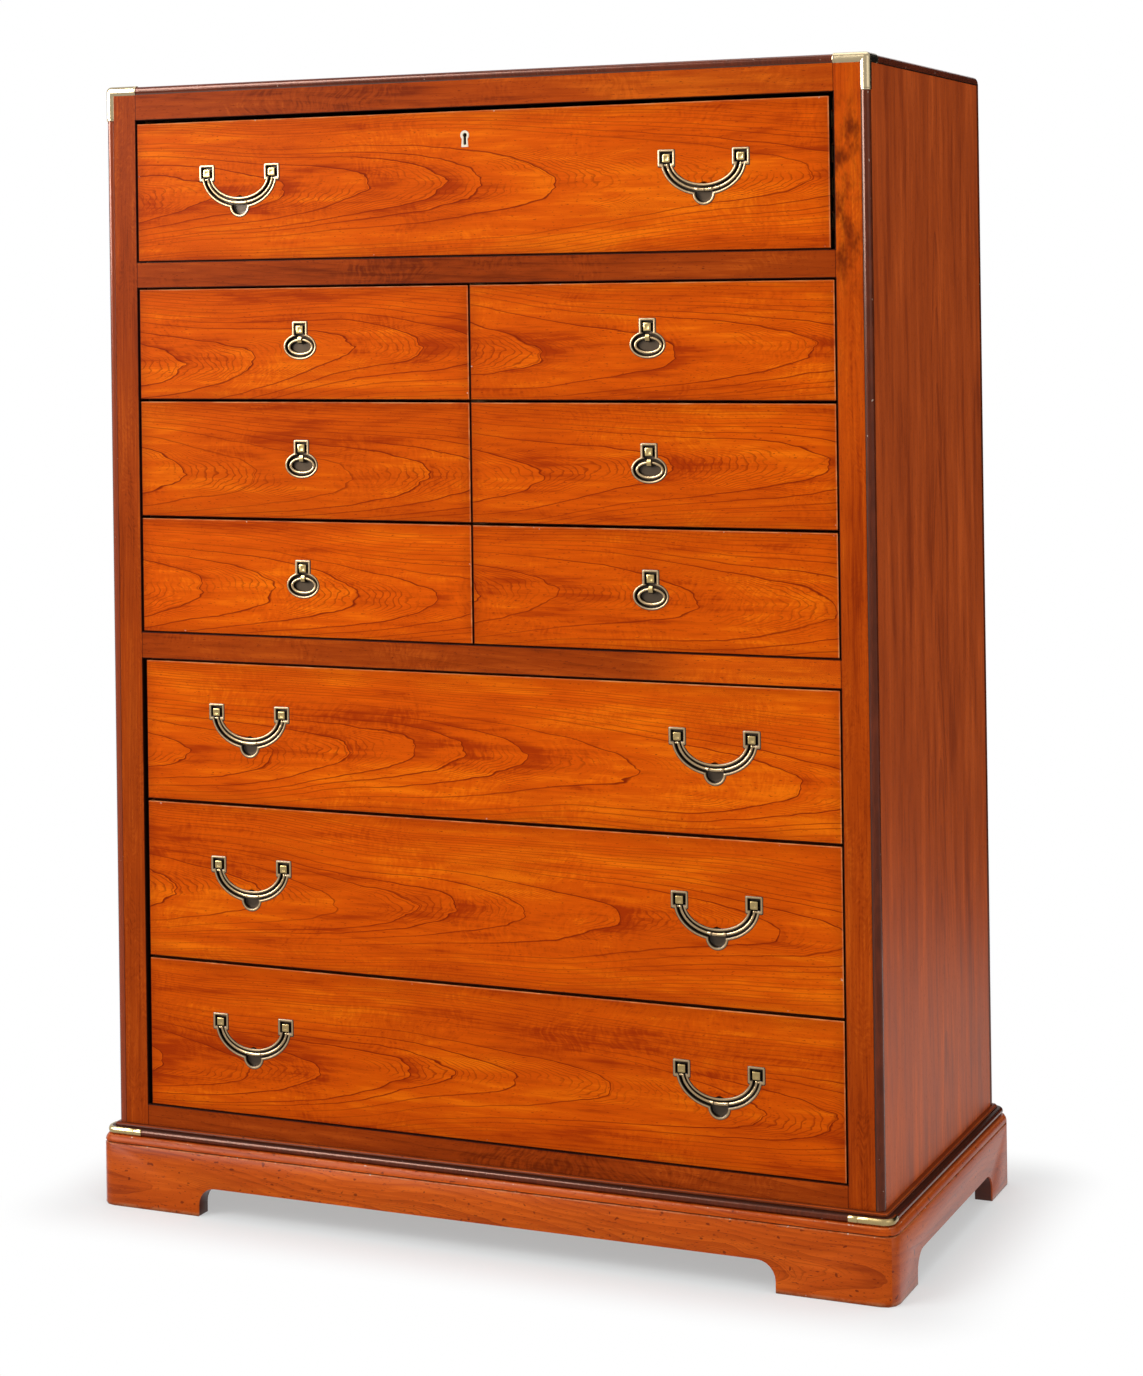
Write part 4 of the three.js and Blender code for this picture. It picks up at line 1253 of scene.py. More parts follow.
@dataclass
class Plinth:
    """The bracket plinth, its moulding, dark bead and brass sleeves. Sizes in millimetres."""

    edges: EdgeWork
    half_width: float = 486.5
    half_depth: float = 224.0
    height: float = 76.0
    moulding_top: float = 97.5
    overhang: float = 17.8
    bead_reach: float = 8.6
    bead_radius: float = 4.4
    bead_height: float = 89.7
    ovolo_foot: float = 84.3
    bead_seat: float = 5.0
    corner_radius: float = 18.0
    brass_proud: float = 1.1
    brass_band: float = 4.2
    brass_front_arm: float = 55.0
    brass_side_arm: float = 27.0
    brass_lap: float = 11.0
    brass_lip: float = 0.5
    bend_steps: int = 12
    board_inner_x: float = 482.3
    board_inner_y: float = 219.8

    def build(self) -> None:
        """Dresses the boards and makes the bead and the sleeves."""
        for node, width in (("plinth", 0.9), ("base_moulding", 0.4)):
            dress(node, self.board_material(f"{node}_wood", node))
            self.edges.ease(node, width, 2, True)
        self.bead()
        for hand in Hand:
            self.sleeve(hand)

    def board_material(self, name: str, node: str) -> bpy.types.Material:
        """Cherry that runs along each side of the plinth, with worn arrises, pale with painted
        highlight along the upper ones, and painted shade in its crevices, under its arches and
        along its foot.

        Args:
            name: the material's name.
            node: the CAD node that it is for.

        Returns:
            The material.
        """
        shader = Shader(name)
        x, y, z = shader.place()
        reach_x = abs(x) - self.board_inner_x * MILLIMETRE
        reach_y = abs(y) - self.board_inner_y * MILLIMETRE
        side = reach_x > reach_y
        along = shader.choose(side, x, y + 1.3)
        depth = shader.choose(side, y, x)
        board = Board(Grain.ALONG_X, heart=0.03, seed=41.0 if node == "plinth" else 47.0)
        colour, gloss, height = PLINTH_CHERRY.figure(shader, board, along, z, depth)
        worn = shader.noise(x * 60.0, y * 60.0, z * 60.0, 4.0, 0.7)
        nick = shader.noise(x * 190.0, y * 190.0, z * 240.0, 1.0).step(0.70, 0.76)
        speck = shader.noise(x * 150.0, y * 150.0, z * 170.0 + 9.0, 0.0).step(0.77, 0.82)
        colour = shader.blend(speck * 0.7, colour, PLINTH_CHERRY.line)
        rise = z - self.height * MILLIMETRE
        if node == "plinth":
            edge = z.step(0.0060, 0.0015).above(rise.step(-0.0018, -0.0008))
            hidden = self._depth(x, y).step(0.0012, 0.0022)
            shadow = hidden.above(z.step(0.0045, 0.0005) * 0.6)
        else:
            top = z - self.moulding_top * MILLIMETRE
            edge = abs(z - self.ovolo_foot * MILLIMETRE).step(0.0009, 0.0002) * 0.8
            fillet = top.step(-0.0042, -0.0034) * top.step(-0.0004, -0.0012) * 0.78
            flat = top.step(-0.0004, -0.0001) * 0.72
            shadow = fillet.above(flat).above(rise.step(0.0016, 0.0006))
        # Pale arrises: wear along all of them, and a painted highlight along the upper edges of the
        # plinth and the ovolo
        colour = shader.blend(edge * worn.step(0.35, 0.60) * 0.55, colour, LIT_AND_RUBBED_PLINTH_EDGE)
        colour = shader.blend(edge * nick, colour, PLINTH_NICK)
        # Painted shade under the arches, along the foot, on the moulding's fillet and top, and in
        # the groove
        colour = shader.blend(shadow * 0.92, colour, CREVICE_SHADE)
        colour = shader.blend(side * 0.25, colour, PLINTH_CHERRY.line)
        return shader.surface(
            Base_Color=colour,
            Roughness=gloss,
            Normal=shader.bump(height, PLINTH_CHERRY.pore_depth),
            Specular_IOR_Level=PLINTH_CHERRY.specular,
            Coat_Weight=side * 0.30,
            Coat_Roughness=0.3,
        )

    def _depth(self, x: Sock, y: Sock) -> Sock:
        """How far a place is behind the plinth's outer faces, in metres.

        Args:
            x: the place along the chest.
            y: the place through it.

        Returns:
            The depth.
        """
        radius = self.corner_radius * MILLIMETRE
        past_x = abs(x) - ((self.half_width + self.overhang) * MILLIMETRE - radius)
        past_y = abs(y) - ((self.half_depth + self.overhang) * MILLIMETRE - radius)
        out_x, out_y = past_x.above(0.0), past_y.above(0.0)
        return radius - (out_x * out_x + out_y * out_y).root() - past_x.above(past_y).below(0.0)

    def _around(self, reach: float, z: float) -> list[Point]:
        """A round-cornered loop at some reach from the case, from the front left corner."""
        radius = max(self.corner_radius - self.overhang + reach, 4.0)
        x = self.half_width + reach - radius
        y = self.half_depth + reach - radius
        corners = ((-x, -y, 1.0), (x, -y, 1.5), (x, y, 0.0), (-x, y, 0.5))
        points: list[Point] = []
        for cx, cy, turn in corners:
            start = turn * math.pi
            bend = arc(cx, cy, radius, radius, start, start + math.pi / 2, self.bend_steps)
            points += [(a, b, z) for a, b in bend]
        return points

    def bead(self) -> None:
        """The dark half-round bead in the moulding."""
        radius = self.bead_radius - 0.1
        quarter = math.pi / 2
        nose = arc(self.bead_reach, self.bead_height, radius, radius, -quarter, quarter, 16)
        inner = self.bead_seat + 0.2
        section = [(inner, nose[0][1]), *nose, (inner, nose[-1][1])]
        loops = [self._around(reach, z) for reach, z in section]
        mesh = Mesh().lofted(loops, closed=True)
        material = bpy.data.materials["bead_wood"]
        fixed(mesh.made("base_bead_round", material), CASE, "ebonised", "base_bead")

    def sleeve(self, hand: Hand) -> None:
        """A brass sleeve over the bead, round one front corner."""
        side = hand.value
        radius = self.bead_radius + self.brass_proud
        half = math.asin(self.brass_band / radius)
        face = arc(0.0, 0.0, radius, radius, -half, half, 14)
        bend = self.corner_radius - self.overhang + self.bead_reach
        cx = self.half_width + self.bead_reach - bend
        cy = -(self.half_depth + self.bead_reach - bend)
        path: list[tuple[Vector, Vector]] = []
        start = self.half_width + self.overhang - self.brass_front_arm
        seam = start + self.brass_lap
        lip = self.brass_lip
        for x in (start, start + lip, seam - lip, seam, seam + lip, (seam + cx) / 2, cx):
            path.append((Vector((x, cy - bend, 0)), Vector((0, -1, 0))))
        for i in range(1, self.bend_steps + 1):
            angle = -math.pi / 2 + math.pi / 2 * i / self.bend_steps
            out = Vector((math.cos(angle), math.sin(angle), 0))
            path.append((Vector((cx, cy, 0)) + out * bend, out))
        end = -self.half_depth - self.overhang + self.brass_side_arm
        for y in (end - lip, end):
            path.append((Vector((cx + bend, y, 0)), Vector((1, 0, 0))))
        loops = []
        for i, (spot, out) in enumerate(path):
            pinch = 0.4 if i in (0, 3, len(path) - 1) else 0.0
            loop = []
            for u, v in [(-0.4, face[0][1]), *face, (-0.4, face[-1][1])]:
                place = spot + out * (u - (pinch if u > 0 else 0.0))
                loop.append((side * place.x, place.y, self.bead_height + v))
            loops.append(loop)
        name = f"base_corner_{hand.name.lower()}"
        mesh = Mesh().lofted(loops)
        material = BASE_BRASS.material(f"{name}_finish")
        fixed(mesh.made(f"{name}_brass", material), CASE, "brass", name)


def between(outer: float, inner: float, share: float) -> float:
    """The value at some share of the way from the outer one to the inner one."""
    return outer + (inner - outer) * share


# The worked edge of a post's face: how far it comes in, and how far it lies below the face
POST_EDGE = ((0.0, 0.7), (0.25, 0.25), (0.8, 0.0), (2.2, 0.0), (2.5, 0.12))
# Halvings that find where two curves cross
HALVINGS = 40


@dataclass
class Pull:
    """What both recessed pulls share: the rim of the plate and where the handle hangs.

    All sizes are in millimetres. The lean and the foot are how far the wall of the recess comes in
    below the rim and where it meets the floor.
    """

    rim: float = 2.6
    rim_proud: float = 0.8
    rim_round: float = 0.5
    floor: float = 4.6
    depth: float = 6.2
    post: float = 9.2
    post_proud: float = 1.5
    pivot_y: float = 2.0
    lean: float = 0.25
    foot: float = 0.7
    square_rise: float = 9.75

    def outline(self, rim: float) -> list[Flat]:
        """The plate's outline at some share of the rim; each pull has its own."""
        raise NotImplementedError

    def plate(self) -> Mesh:
        """The whole plate; each pull has its own."""
        raise NotImplementedError

    def handle(self) -> Mesh:
        """The bail or the ring; each pull has its own."""
        raise NotImplementedError

    def post_levels(self) -> list[Flat]:
        """How far the post reaches from its middle at each depth, from the floor to its face."""
        half = self.post / 2
        edge = [(half - inward, low - self.post_proud) for inward, low in POST_EDGE]
        return [(half, self.floor + 0.5), *edge]

    def rimmed(self) -> Mesh:
        """The plate's body: its edge, its rounded rim, the wall of the recess and the floor."""
        top = -self.rim_proud
        curve = ((0.0, 1.0), (0.10, 0.56), (0.28, 0.14), (0.5, 0.0))
        curve += tuple((1.0 - share, low) for share, low in reversed(curve[:-1]))
        steps = [(0.0, self.depth)]
        steps += [(share, top + self.rim_round * low) for share, low in curve]
        steps.append((1.0 + self.lean / self.rim, self.floor - 0.6))
        steps.append((1.0 + self.foot / self.rim, self.floor))
        return Mesh().lofted([[(x, y, z) for x, z in self.outline(share)] for share, y in steps])

    def fit(
        self, name: str, body: str, face: float, plate: bpy.types.Material, wire: bpy.types.Material
    ) -> None:
        """Puts the plate and the handle in place of their CAD nodes.

        Args:
            name: the CAD plate's name; without the word plate it is the handle's.
            body: the drawer that holds the plate.
            face: the Y of the drawer's face.
            plate: the plate's material.
            wire: the handle's material.
        """
        x, _ = middle_of(name)
        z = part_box(name)[1].z / MILLIMETRE - self.square_rise
        held = self.plate().moved(x, face, z)
        fixed(held.made(f"{name}_brass", plate), body, "brass", name)
        node = name.replace("_plate", "")
        swung = self.handle().moved(x, face + self.pivot_y, z)
        fixed(swung.made(f"{node}_brass", wire), node, "brass", node)


@dataclass
class BailPull(Pull):
    """A recessed bail handle: plate with two posts and a finger scoop, and the swinging bail."""

    spacing: float = 89.0
    straight: float = 3.0
    drop: float = 33.0
    wire: float = 1.9
    collar: float = 2.5
    collar_length: float = 18.0
    collar_bead: float = 0.15
    collar_waist: float = 0.2
    pin: float = 1.5
    pin_reach: float = 3.9
    knuckle: float = 2.15
    pivot_drop: float = 7.6
    scoop_drop: float = 40.0
    scoop_depth: float = 5.6
    bowl_radius: float = 9.6
    arc_steps: int = 40

    def outline(self, rim: float) -> list[Flat]:
        """The outline of the plate, anticlockwise.

        Args:
            rim: 0 for the outer edge, 1 for the inner edge of the rim.

        Returns:
            Points in X and Z from the middle between the posts.
        """
        a = self.spacing / 2
        w = between(10.5, 7.3, rim)
        top = between(10.2, 7.2, rim)
        foot = -between(10.0, 5.6, rim)
        band = between(6.8, 3.9, rim)
        scoop = between(13.5, 10.3, rim)
        corner = between(1.6, 0.8, rim)
        outer_x, outer_z = a + band, self.drop + band
        inner_x, inner_z = a - band, self.drop - band

        def cross(rx: float, rz: float) -> float:
            """The angle at which an arm of the band meets the foot of the square."""
            return math.asin((foot + self.straight) / rz)

        start = cross(outer_x, outer_z)
        meet = self._scoop_meets(outer_x, outer_z, scoop)
        ends = (
            (a + w - corner, foot + corner, -0.5),
            (a + w - corner, top - corner, 0.0),
            (a - w + corner, top - corner, 0.5),
            (a - w + corner, foot + corner, 1.0),
        )
        right_square: list[Flat] = []
        for x, z, turn in ends:
            right_square += arc(x, z, corner, corner, turn * math.pi, (turn + 0.5) * math.pi, 4)
        low = -self.straight
        inner_start = cross(inner_x, inner_z)
        inner_end = -math.pi - inner_start
        inner_arm = arc(0, low, inner_x, inner_z, inner_start, inner_end, self.arc_steps)
        left_square = [(-x, z) for x, z in reversed(right_square)]
        outer_arm = arc(0, low, outer_x, outer_z, start, -meet[0], self.arc_steps // 2)
        left_arm = [(-x, z) for x, z in outer_arm]
        lobe_start, lobe_end = math.pi + meet[1], 2 * math.pi - meet[1]
        lobe = arc(0, -self.scoop_drop, scoop, scoop, lobe_start, lobe_end, 24)
        return [*right_square, *inner_arm, *left_square, *left_arm, *lobe, *reversed(outer_arm)]

    def _scoop_meets(self, rx: float, rz: float, scoop: float) -> Flat:
        """Where the outer band and the scoop cross, as angles below level on each of them."""
        low, high = 0.0, math.pi / 2
        x = z = 0.0
        for _ in range(HALVINGS):
            angle = (low + high) / 2
            x = rx * math.cos(angle)
            z = -self.straight - rz * math.sin(angle) + self.scoop_drop
            if math.hypot(x, z) > scoop:
                low = angle
            else:
                high = angle
        return low, math.atan2(-z, x)

    def plate(self) -> Mesh:
        """The plate with its rounded rim, recess, posts and scoop."""
        mesh = self.rimmed()
        for side in (-1, 1):
            self._post(mesh, side * self.spacing / 2)
        self._bowl(mesh)
        return mesh

    def _post(self, mesh: Mesh, x: float) -> None:
        """One square post with a bevelled, slightly domed face."""
        loops = []
        for reach, y in self.post_levels():
            r = min(0.9, reach / 3)
            loop = []
            for cx, cz, turn in ((1, 1, 0.0), (-1, 1, 0.5), (-1, -1, 1.0), (1, -1, 1.5)):
                start = turn * math.pi
                middle = (cx * (reach - r), cz * (reach - r))
                loop += arc(*middle, r, r, start, start + math.pi / 2, 3)
            loops.append([(x + u, y, v) for u, v in loop])
        mesh.lofted(loops)

    def _bowl(self, mesh: Mesh) -> None:
        """The hollow of the finger scoop: a raised ring of floor that dips to its middle."""
        levels = [(self.bowl_radius + 0.4, self.floor + 0.1)]
        for i in range(8):
            share = math.cos(math.pi / 2 * i / 8)
            dip = (self.scoop_depth - self.floor) * (1 - share)
            levels.append((self.bowl_radius * share, self.floor - 0.25 + dip))
        loops = []
        for radius, y in levels:
            circle = arc(0, -self.scoop_drop, radius, radius, 0, 2 * math.pi * 39 / 40, 39)
            loops.append([(a, y, b) for a, b in circle])
        mesh.lofted(loops)

    def handle(self) -> Mesh:
        """The bail: a round wire with a collar at its middle, necked ends and pins."""
        steps = 72
        half = self.spacing / 2
        start = math.asin((self.pivot_drop - self.straight) / self.drop)
        path: list[Point] = []
        radii: list[float] = []
        collar_half = math.asin(self.collar_length / self.spacing)
        for i in range(steps + 1):
            angle = math.pi + start + (math.pi - 2 * start) * i / steps
            from_middle = abs(angle - 1.5 * math.pi)
            radius = self.wire
            if abs(from_middle - collar_half) < 0.03:
                radius = self.collar + self.collar_bead
            elif from_middle < collar_half:
                radius = self.collar - self.collar_waist
            ends = min(i, steps - i)
            if ends < 5:
                radius = self.wire - 0.12 + 0.1 * math.cos(ends)
            low = self.drop * math.sin(angle) - self.straight
            path.append((half * math.cos(angle), 0.0, low))
            radii.append(radius)
        mesh = Mesh().swept(path, radii, 20)
        neck = half * math.cos(start)
        inner, outer = neck - 1.0, half + self.pin_reach
        for side in (-1, 1):
            xs = [side * (inner + (outer - inner) * i / 4) for i in range(5)]
            mesh.swept([(x, 0.0, -self.pivot_drop) for x in xs], [self.pin] * 5, 16)
            mesh.ball((side * neck, 0.0, -self.pivot_drop), self.knuckle, 20)
        return mesh


@dataclass
class RingPull(Pull):
    """A recessed ring pull: plate with a post, a dish and a curved tab, and the oval ring."""

    lean: float = 0.3
    foot: float = 0.8
    square_rise: float = 9.7
    square: float = 10.4
    square_top: float = 10.0
    dish_x: float = 21.9
    dish_z: float = 15.7
    dish_drop: float = 20.1
    post: float = 9.4
    taper: float = 0.1
    foot_taper: float = 0.5
    ring_x: float = 15.6
    ring_z: float = 8.6
    wire: float = 1.6
    pivot_drop: float = 12.1
    tab_reach: float = 3.2
    tab_thickness: float = 0.75

    def outline(self, rim: float) -> list[Flat]:
        """The outline of the plate, anticlockwise from the square's foot.

        Args:
            rim: 0 for the outer edge, 1 for the inner edge of the rim.

        Returns:
            Points in X and Z from the middle of the post.
        """
        w = between(self.square, 7.0, rim)
        top = between(self.square_top, 6.9, rim)
        corner = between(1.6, 0.8, rim)
        neck = between(self.square, 5.2, rim)
        foot = between(-6.2, -6.6, rim)
        rx = self.dish_x - self.rim * rim
        rz = self.dish_z - self.rim * rim
        meet = math.acos(neck / rx)
        right = [
            (neck, foot),
            (w, foot),
            *arc(w - corner, top - corner, corner, corner, 0, math.pi / 2, 4),
        ]
        left = [(-x, z) for x, z in reversed(right)]
        dish = arc(0, -self.dish_drop, rx, rz, math.pi - meet, 2 * math.pi + meet, 72)
        return [*right, *left, *dish]

    def plate(self) -> Mesh:
        """The plate with its rounded rim, dish, post and tab."""
        mesh = self.rimmed()
        narrower = [self.foot_taper] + [self.taper] * len(POST_EDGE)
        loops = []
        for (reach, y), less in zip(self.post_levels(), narrower):
            low = reach - less
            corners = ((reach, reach), (-reach, reach), (-low, -reach), (low, -reach))
            loops.append([(x, y, z) for x, z in corners])
        mesh.lofted(loops)
        self._tab(mesh)
        return mesh

    def _tab(self, mesh: Mesh) -> None:
        """The curved tab that the ring hangs from."""
        loops = []
        for i in range(13):
            angle = math.radians(115 + 200 * i / 12)
            out_y, out_z = math.cos(angle), math.sin(angle)
            y = self.pivot_y + self.tab_reach * out_y
            z = self.tab_reach * out_z * 1.35 - self.pivot_drop
            width = 2.6 - 0.35 * math.cos(2 * math.pi * i / 12)
            loop = []
            for side, face in ((-1, -1), (1, -1), (1, 1), (-1, 1)):
                x = side * (width - (0.3 if face > 0 else 0))
                thick = face * self.tab_thickness
                loop.append((x, y + thick * out_y, z + thick * out_z))
            loops.append(loop)
        mesh.lofted(loops)

    def handle(self) -> Mesh:
        """The oval ring, a little thicker at its foot."""
        steps = 80
        path = []
        radii = []
        for i in range(steps):
            angle = 2 * math.pi * i / steps
            low = self.ring_z * math.sin(angle) - self.ring_z - self.pivot_drop
            path.append((self.ring_x * math.cos(angle), 0.0, low))
            radii.append(self.wire + 0.12 - 0.12 * math.sin(angle))
        return Mesh().swept(path, radii, 16, closed=True)


@dataclass
class Drawer:
    """One drawer with its face, its box and its pulls. Sizes in millimetres."""

    name: str
    edges: EdgeWork
    seed: float
    tips: tuple[float, ...]
    heart: float = 0.0
    tone: float = 1.0
    face: float = -223.2
    front_thickness: float = 20.0
    wall: float = 10.0
    lap: float = 12.0
    # How far behind the face the painted gap shade reaches on the edges
    gap_shade_depth: float = 5.0
    front_seed: float = 50.0
    box_seed: float = 60.0

    def face_figure(self, shader: Shader, node: str) -> Figure:
        """The cherry figure of the face, with its eased arrises pale from wear and painted
        highlight along the top and right, painted shade along the bottom and left, and darker
        towards its edges.

        Args:
            shader: the shader to write in.
            node: the CAD node that holds the face.

        Returns:
            (colour, roughness, height).
        """
        low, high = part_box(node)
        middle = (low.z + high.z) / 2 + self.heart * MILLIMETRE
        tips = tuple(tip * MILLIMETRE for tip in self.tips)
        board = Board(Grain.ALONG_X, heart=middle, seed=self.seed, tips=tips)
        colour, gloss, height = CHERRY.pattern(shader, board)
        colour = shader.darken(colour, self.tone)
        x, y, z = shader.place()
        reach = y - self.face * MILLIMETRE
        near = reach.step(0.0012, 0.0002)
        shaded = (x - low.x).below(z - low.z)
        lit = (high.x - x).below(high.z - z)
        edge = shaded.below(lit)
        worn = shader.noise(x * 25.0, z * 25.0, 3.0, 3.0, 0.7)
        # Pale top and right arrises: wear, and a painted highlight on the edges that face the light
        rubbed = lit.step(0.0018, 0.0004) * near * (0.25 + worn.step(0.4, 0.7) * 0.65)
        colour = shader.blend(rubbed, colour, LIT_AND_RUBBED_FACE_EDGE)
        nick = shader.noise(x * 160.0, z * 160.0, 7.0, 1.0).step(0.74, 0.79)
        colour = shader.blend(nick * edge.step(0.004, 0.001) * near, colour, FACE_NICK)
        # Darker towards the face's edges
        edge_darkening = edge.step(0.020, 0.0) * 0.22
        colour = shader.blend(edge_darkening * (1 - rubbed), colour, CHERRY.line)
        raw_edge = reach.step(0.001, 0.002) * (edge < 0.0005)
        colour = shader.blend(raw_edge * 0.6, colour, LINING.dark)
        # Painted shade: black along the bottom and left arrises, and on the edge faces behind the
        # face, where the gaps are
        behind = reach.step(0.0008, 0.0018) * self.stained(reach)
        gap = (shaded.step(0.0013, 0.0007) * near * 0.9).above(behind * edge.step(0.0030, 0.0020))
        colour = shader.blend(gap, colour, GAP_SHADE)
        return self.hollowed(shader, colour), gloss, height

    def stained(self, reach: Sock) -> Sock:
        """1 as far behind the face as the painted shade on the edges goes, and 0 beyond it."""
        deep = self.gap_shade_depth * MILLIMETRE
        return reach.step(deep + 0.001, deep - 0.001)

    def hollowed(self, shader: Shader, colour: Sock) -> Sock:
        """Paints shade inside the holes in a face; a plain face has none."""
        return colour

    def lining(self, shader: Shader, node: str, wall: float, seed: float) -> Figure:
        """Plain wood that runs along each wall of a drawer.

        Args:
            shader: the shader to write in.
            node: the CAD node.
            wall: how far in from its ends the fibres run from front to back, in millimetres.
            seed: what the board's seed adds to the drawer's.

        Returns:
            (colour, roughness, height).
        """
        low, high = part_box(node)
        x, y, z = shader.place()
        near_side = (x - low.x).below(high.x - x) < wall * MILLIMETRE
        along, deep = shader.choose(near_side, x, y), shader.choose(near_side, y, x)
        board = Board(Grain.ALONG_X, heart=low.z, seed=self.seed + seed)
        return LINING.figure(shader, board, along, z, deep)

    def front_material(self, node: str) -> bpy.types.Material:
        """The face of a drawer, with the plain wood behind it."""
        shader = Shader(f"{node}_wood")
        face = self.face_figure(shader, node)
        raw = self.lining(shader, node, self.wall + self.lap, self.front_seed)
        _, y, _ = shader.place()
        behind = y > (self.face + self.front_thickness - 0.4) * MILLIMETRE
        colour = shader.blend(behind, face[0], raw[0])
        gloss, height = (shader.choose(behind, face[i], raw[i]) for i in (1, 2))
        return CHERRY.finish(shader, colour, gloss, height)

    def box_material(self, node: str) -> bpy.types.Material:
        """Plain wood along each wall of a drawer box, with painted shade on its outer faces near
        the face.
        """
        shader = Shader(f"{node}_wood")
        colour, gloss, height = self.lining(shader, node, self.wall, self.box_seed)
        low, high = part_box(node)
        x, y, _ = shader.place()
        # Painted shade on the outer faces of the tails, where they show in the gap round the face
        outer = (x - low.x).below(high.x - x) < 0.0006
        darkening = outer * self.stained(y - self.face * MILLIMETRE) * 0.9
        colour = shader.blend(darkening, colour, TAIL_SHADE)
        return LINING.finish(shader, colour, gloss, height)


@dataclass
class LongDrawer(Drawer):
    """A full-width drawer: dovetailed front and box, and two bail pulls."""

    pull: BailPull = field(default_factory=BailPull)

    def build(self) -> None:
        """Dresses the boards and fits the pulls."""
        front, box = f"{self.name}_front", f"{self.name}_box"
        dress(front, self.front_material(front))
        self.edges.ease(front, 0.7)
        dress(box, self.box_material(box))
        self.edges.ease(box, 0.4, 1)
        name, pull = self.name, self.pull
        places = [f"{name}_bail_plate_{hand.name.lower()}" for hand in Hand]
        collar = (abs(middle_of(places[0])[0]), pull.collar_length / 2)
        shade = recess_shade(self.face)
        plate = BRASS.material(f"{name}_plate_finish", shade, self.face - 1.0)
        shade = wire_shade(self.face + pull.pivot_y, pull.wire, collar)
        bail = BRASS.material(f"{name}_bail_finish", shade)
        for place in places:
            pull.fit(place, name, self.face, plate, bail)


@dataclass
class TopDrawer(LongDrawer):
    """The full-width drawer with the keyhole and the widest gap round it."""

    # The painted gap shade reaches deepest round this drawer
    gap_shade_depth: float = 12.5

    def hollowed(self, shader: Shader, colour: Sock) -> Sock:
        """Paints near-black shade on the wood inside the keyhole."""
        return shader.blend(keyhole_shade(shader, *shader.place()) * 0.96, colour, IRON.recess)


@dataclass
class SmallDrawer(Drawer):
    """A half-width drawer with a ring pull."""

    pull: RingPull = field(default_factory=RingPull)

    def build(self) -> None:
        """Dresses the drawer and fits the pull."""
        dress(self.name, self.front_material(self.name))
        self.edges.ease(self.name, 0.6)
        node = f"{self.name}_ring"
        shade = recess_shade(self.face)
        plate = BRASS.material(f"{node}_plate_finish", shade, self.face - 1.0)
        shade = wire_shade(self.face + self.pull.pivot_y, self.pull.wire)
        ring = BRASS.material(f"{node}_finish", shade)
        self.pull.fit(f"{node}_plate", self.name, self.face, plate, ring)


@dataclass
class Lock:
    """The lock of the top drawer with its bone keyhole. Sizes in millimetres."""

    face: float = -223.2
    height: float = 19.2
    base: float = 8.8
    neck: float = 7.2
    head: float = 5.5
    proud: float = 0.2
    depth: float = 2.0
    key_radius: float = 2.7
    key_slot: float = 3.6
    key_lift: float = 2.6

    def build(self) -> None:
        """Makes the keyhole and dresses the lock."""
        self.keyhole()
        # Painted shade on the iron behind the keyhole
        dress("lock_case", IRON.material("lock_iron", keyhole_shade))
        dress("lock_bolt", BRASS.material("bolt_brass"))

    def _loop(self, rim: float) -> list[Flat]:
        """The outline between the bone's outer edge, at 0, and the keyhole, at 1."""
        foot = -self.height / 2 + self.key_lift * rim
        radius = between(self.head, self.key_radius, rim)
        half = between(self.neck, self.key_slot, rim) / 2
        base = between(self.base, self.key_slot, rim) / 2
        start = -math.acos(half / radius)
        head = arc(0, self.height / 2 - self.head, radius, radius, start, math.pi - start, 40)
        return [(-base, foot), (base, foot), *head]

    def keyhole(self) -> None:
        """The bone inlay round the keyhole."""
        x, z = middle_of("keyhole_escutcheon")
        top, back = -self.proud, self.depth
        steps = ((0.0, back), (0.0, top + 0.1), (0.05, top), (0.93, top), (1.0, 0.0), (1.0, back))
        loops = [[(x + u, self.face + y, z + v) for u, v in self._loop(rim)] for rim, y in steps]
        mesh = Mesh().lofted(loops, closed=True)
        shader = Shader("bone_inlay")
        px, py, pz = shader.place()
        streak = shader.noise(px * 1800.0, py * 400.0, pz * 260.0, 3.0)
        darkening = shader.noise(px * 500.0, py * 500.0, pz * 500.0, 2.0)
        colour = shader.blend(streak.step(0.3, 0.8) * 0.6, BONE_PALE, BONE_STREAK)
        colour = shader.blend(darkening.step(0.58, 0.75) * 0.4, colour, BONE_STAIN)
        relief = shader.bump(streak, 0.00004)
        gloss = 0.34 + streak * 0.12
        material = shader.surface(Base_Color=colour, Roughness=gloss, Normal=relief)
        fixed(mesh.made("keyhole_bone", material), "top_drawer", "bone", "keyhole_escutcheon")


# Studio


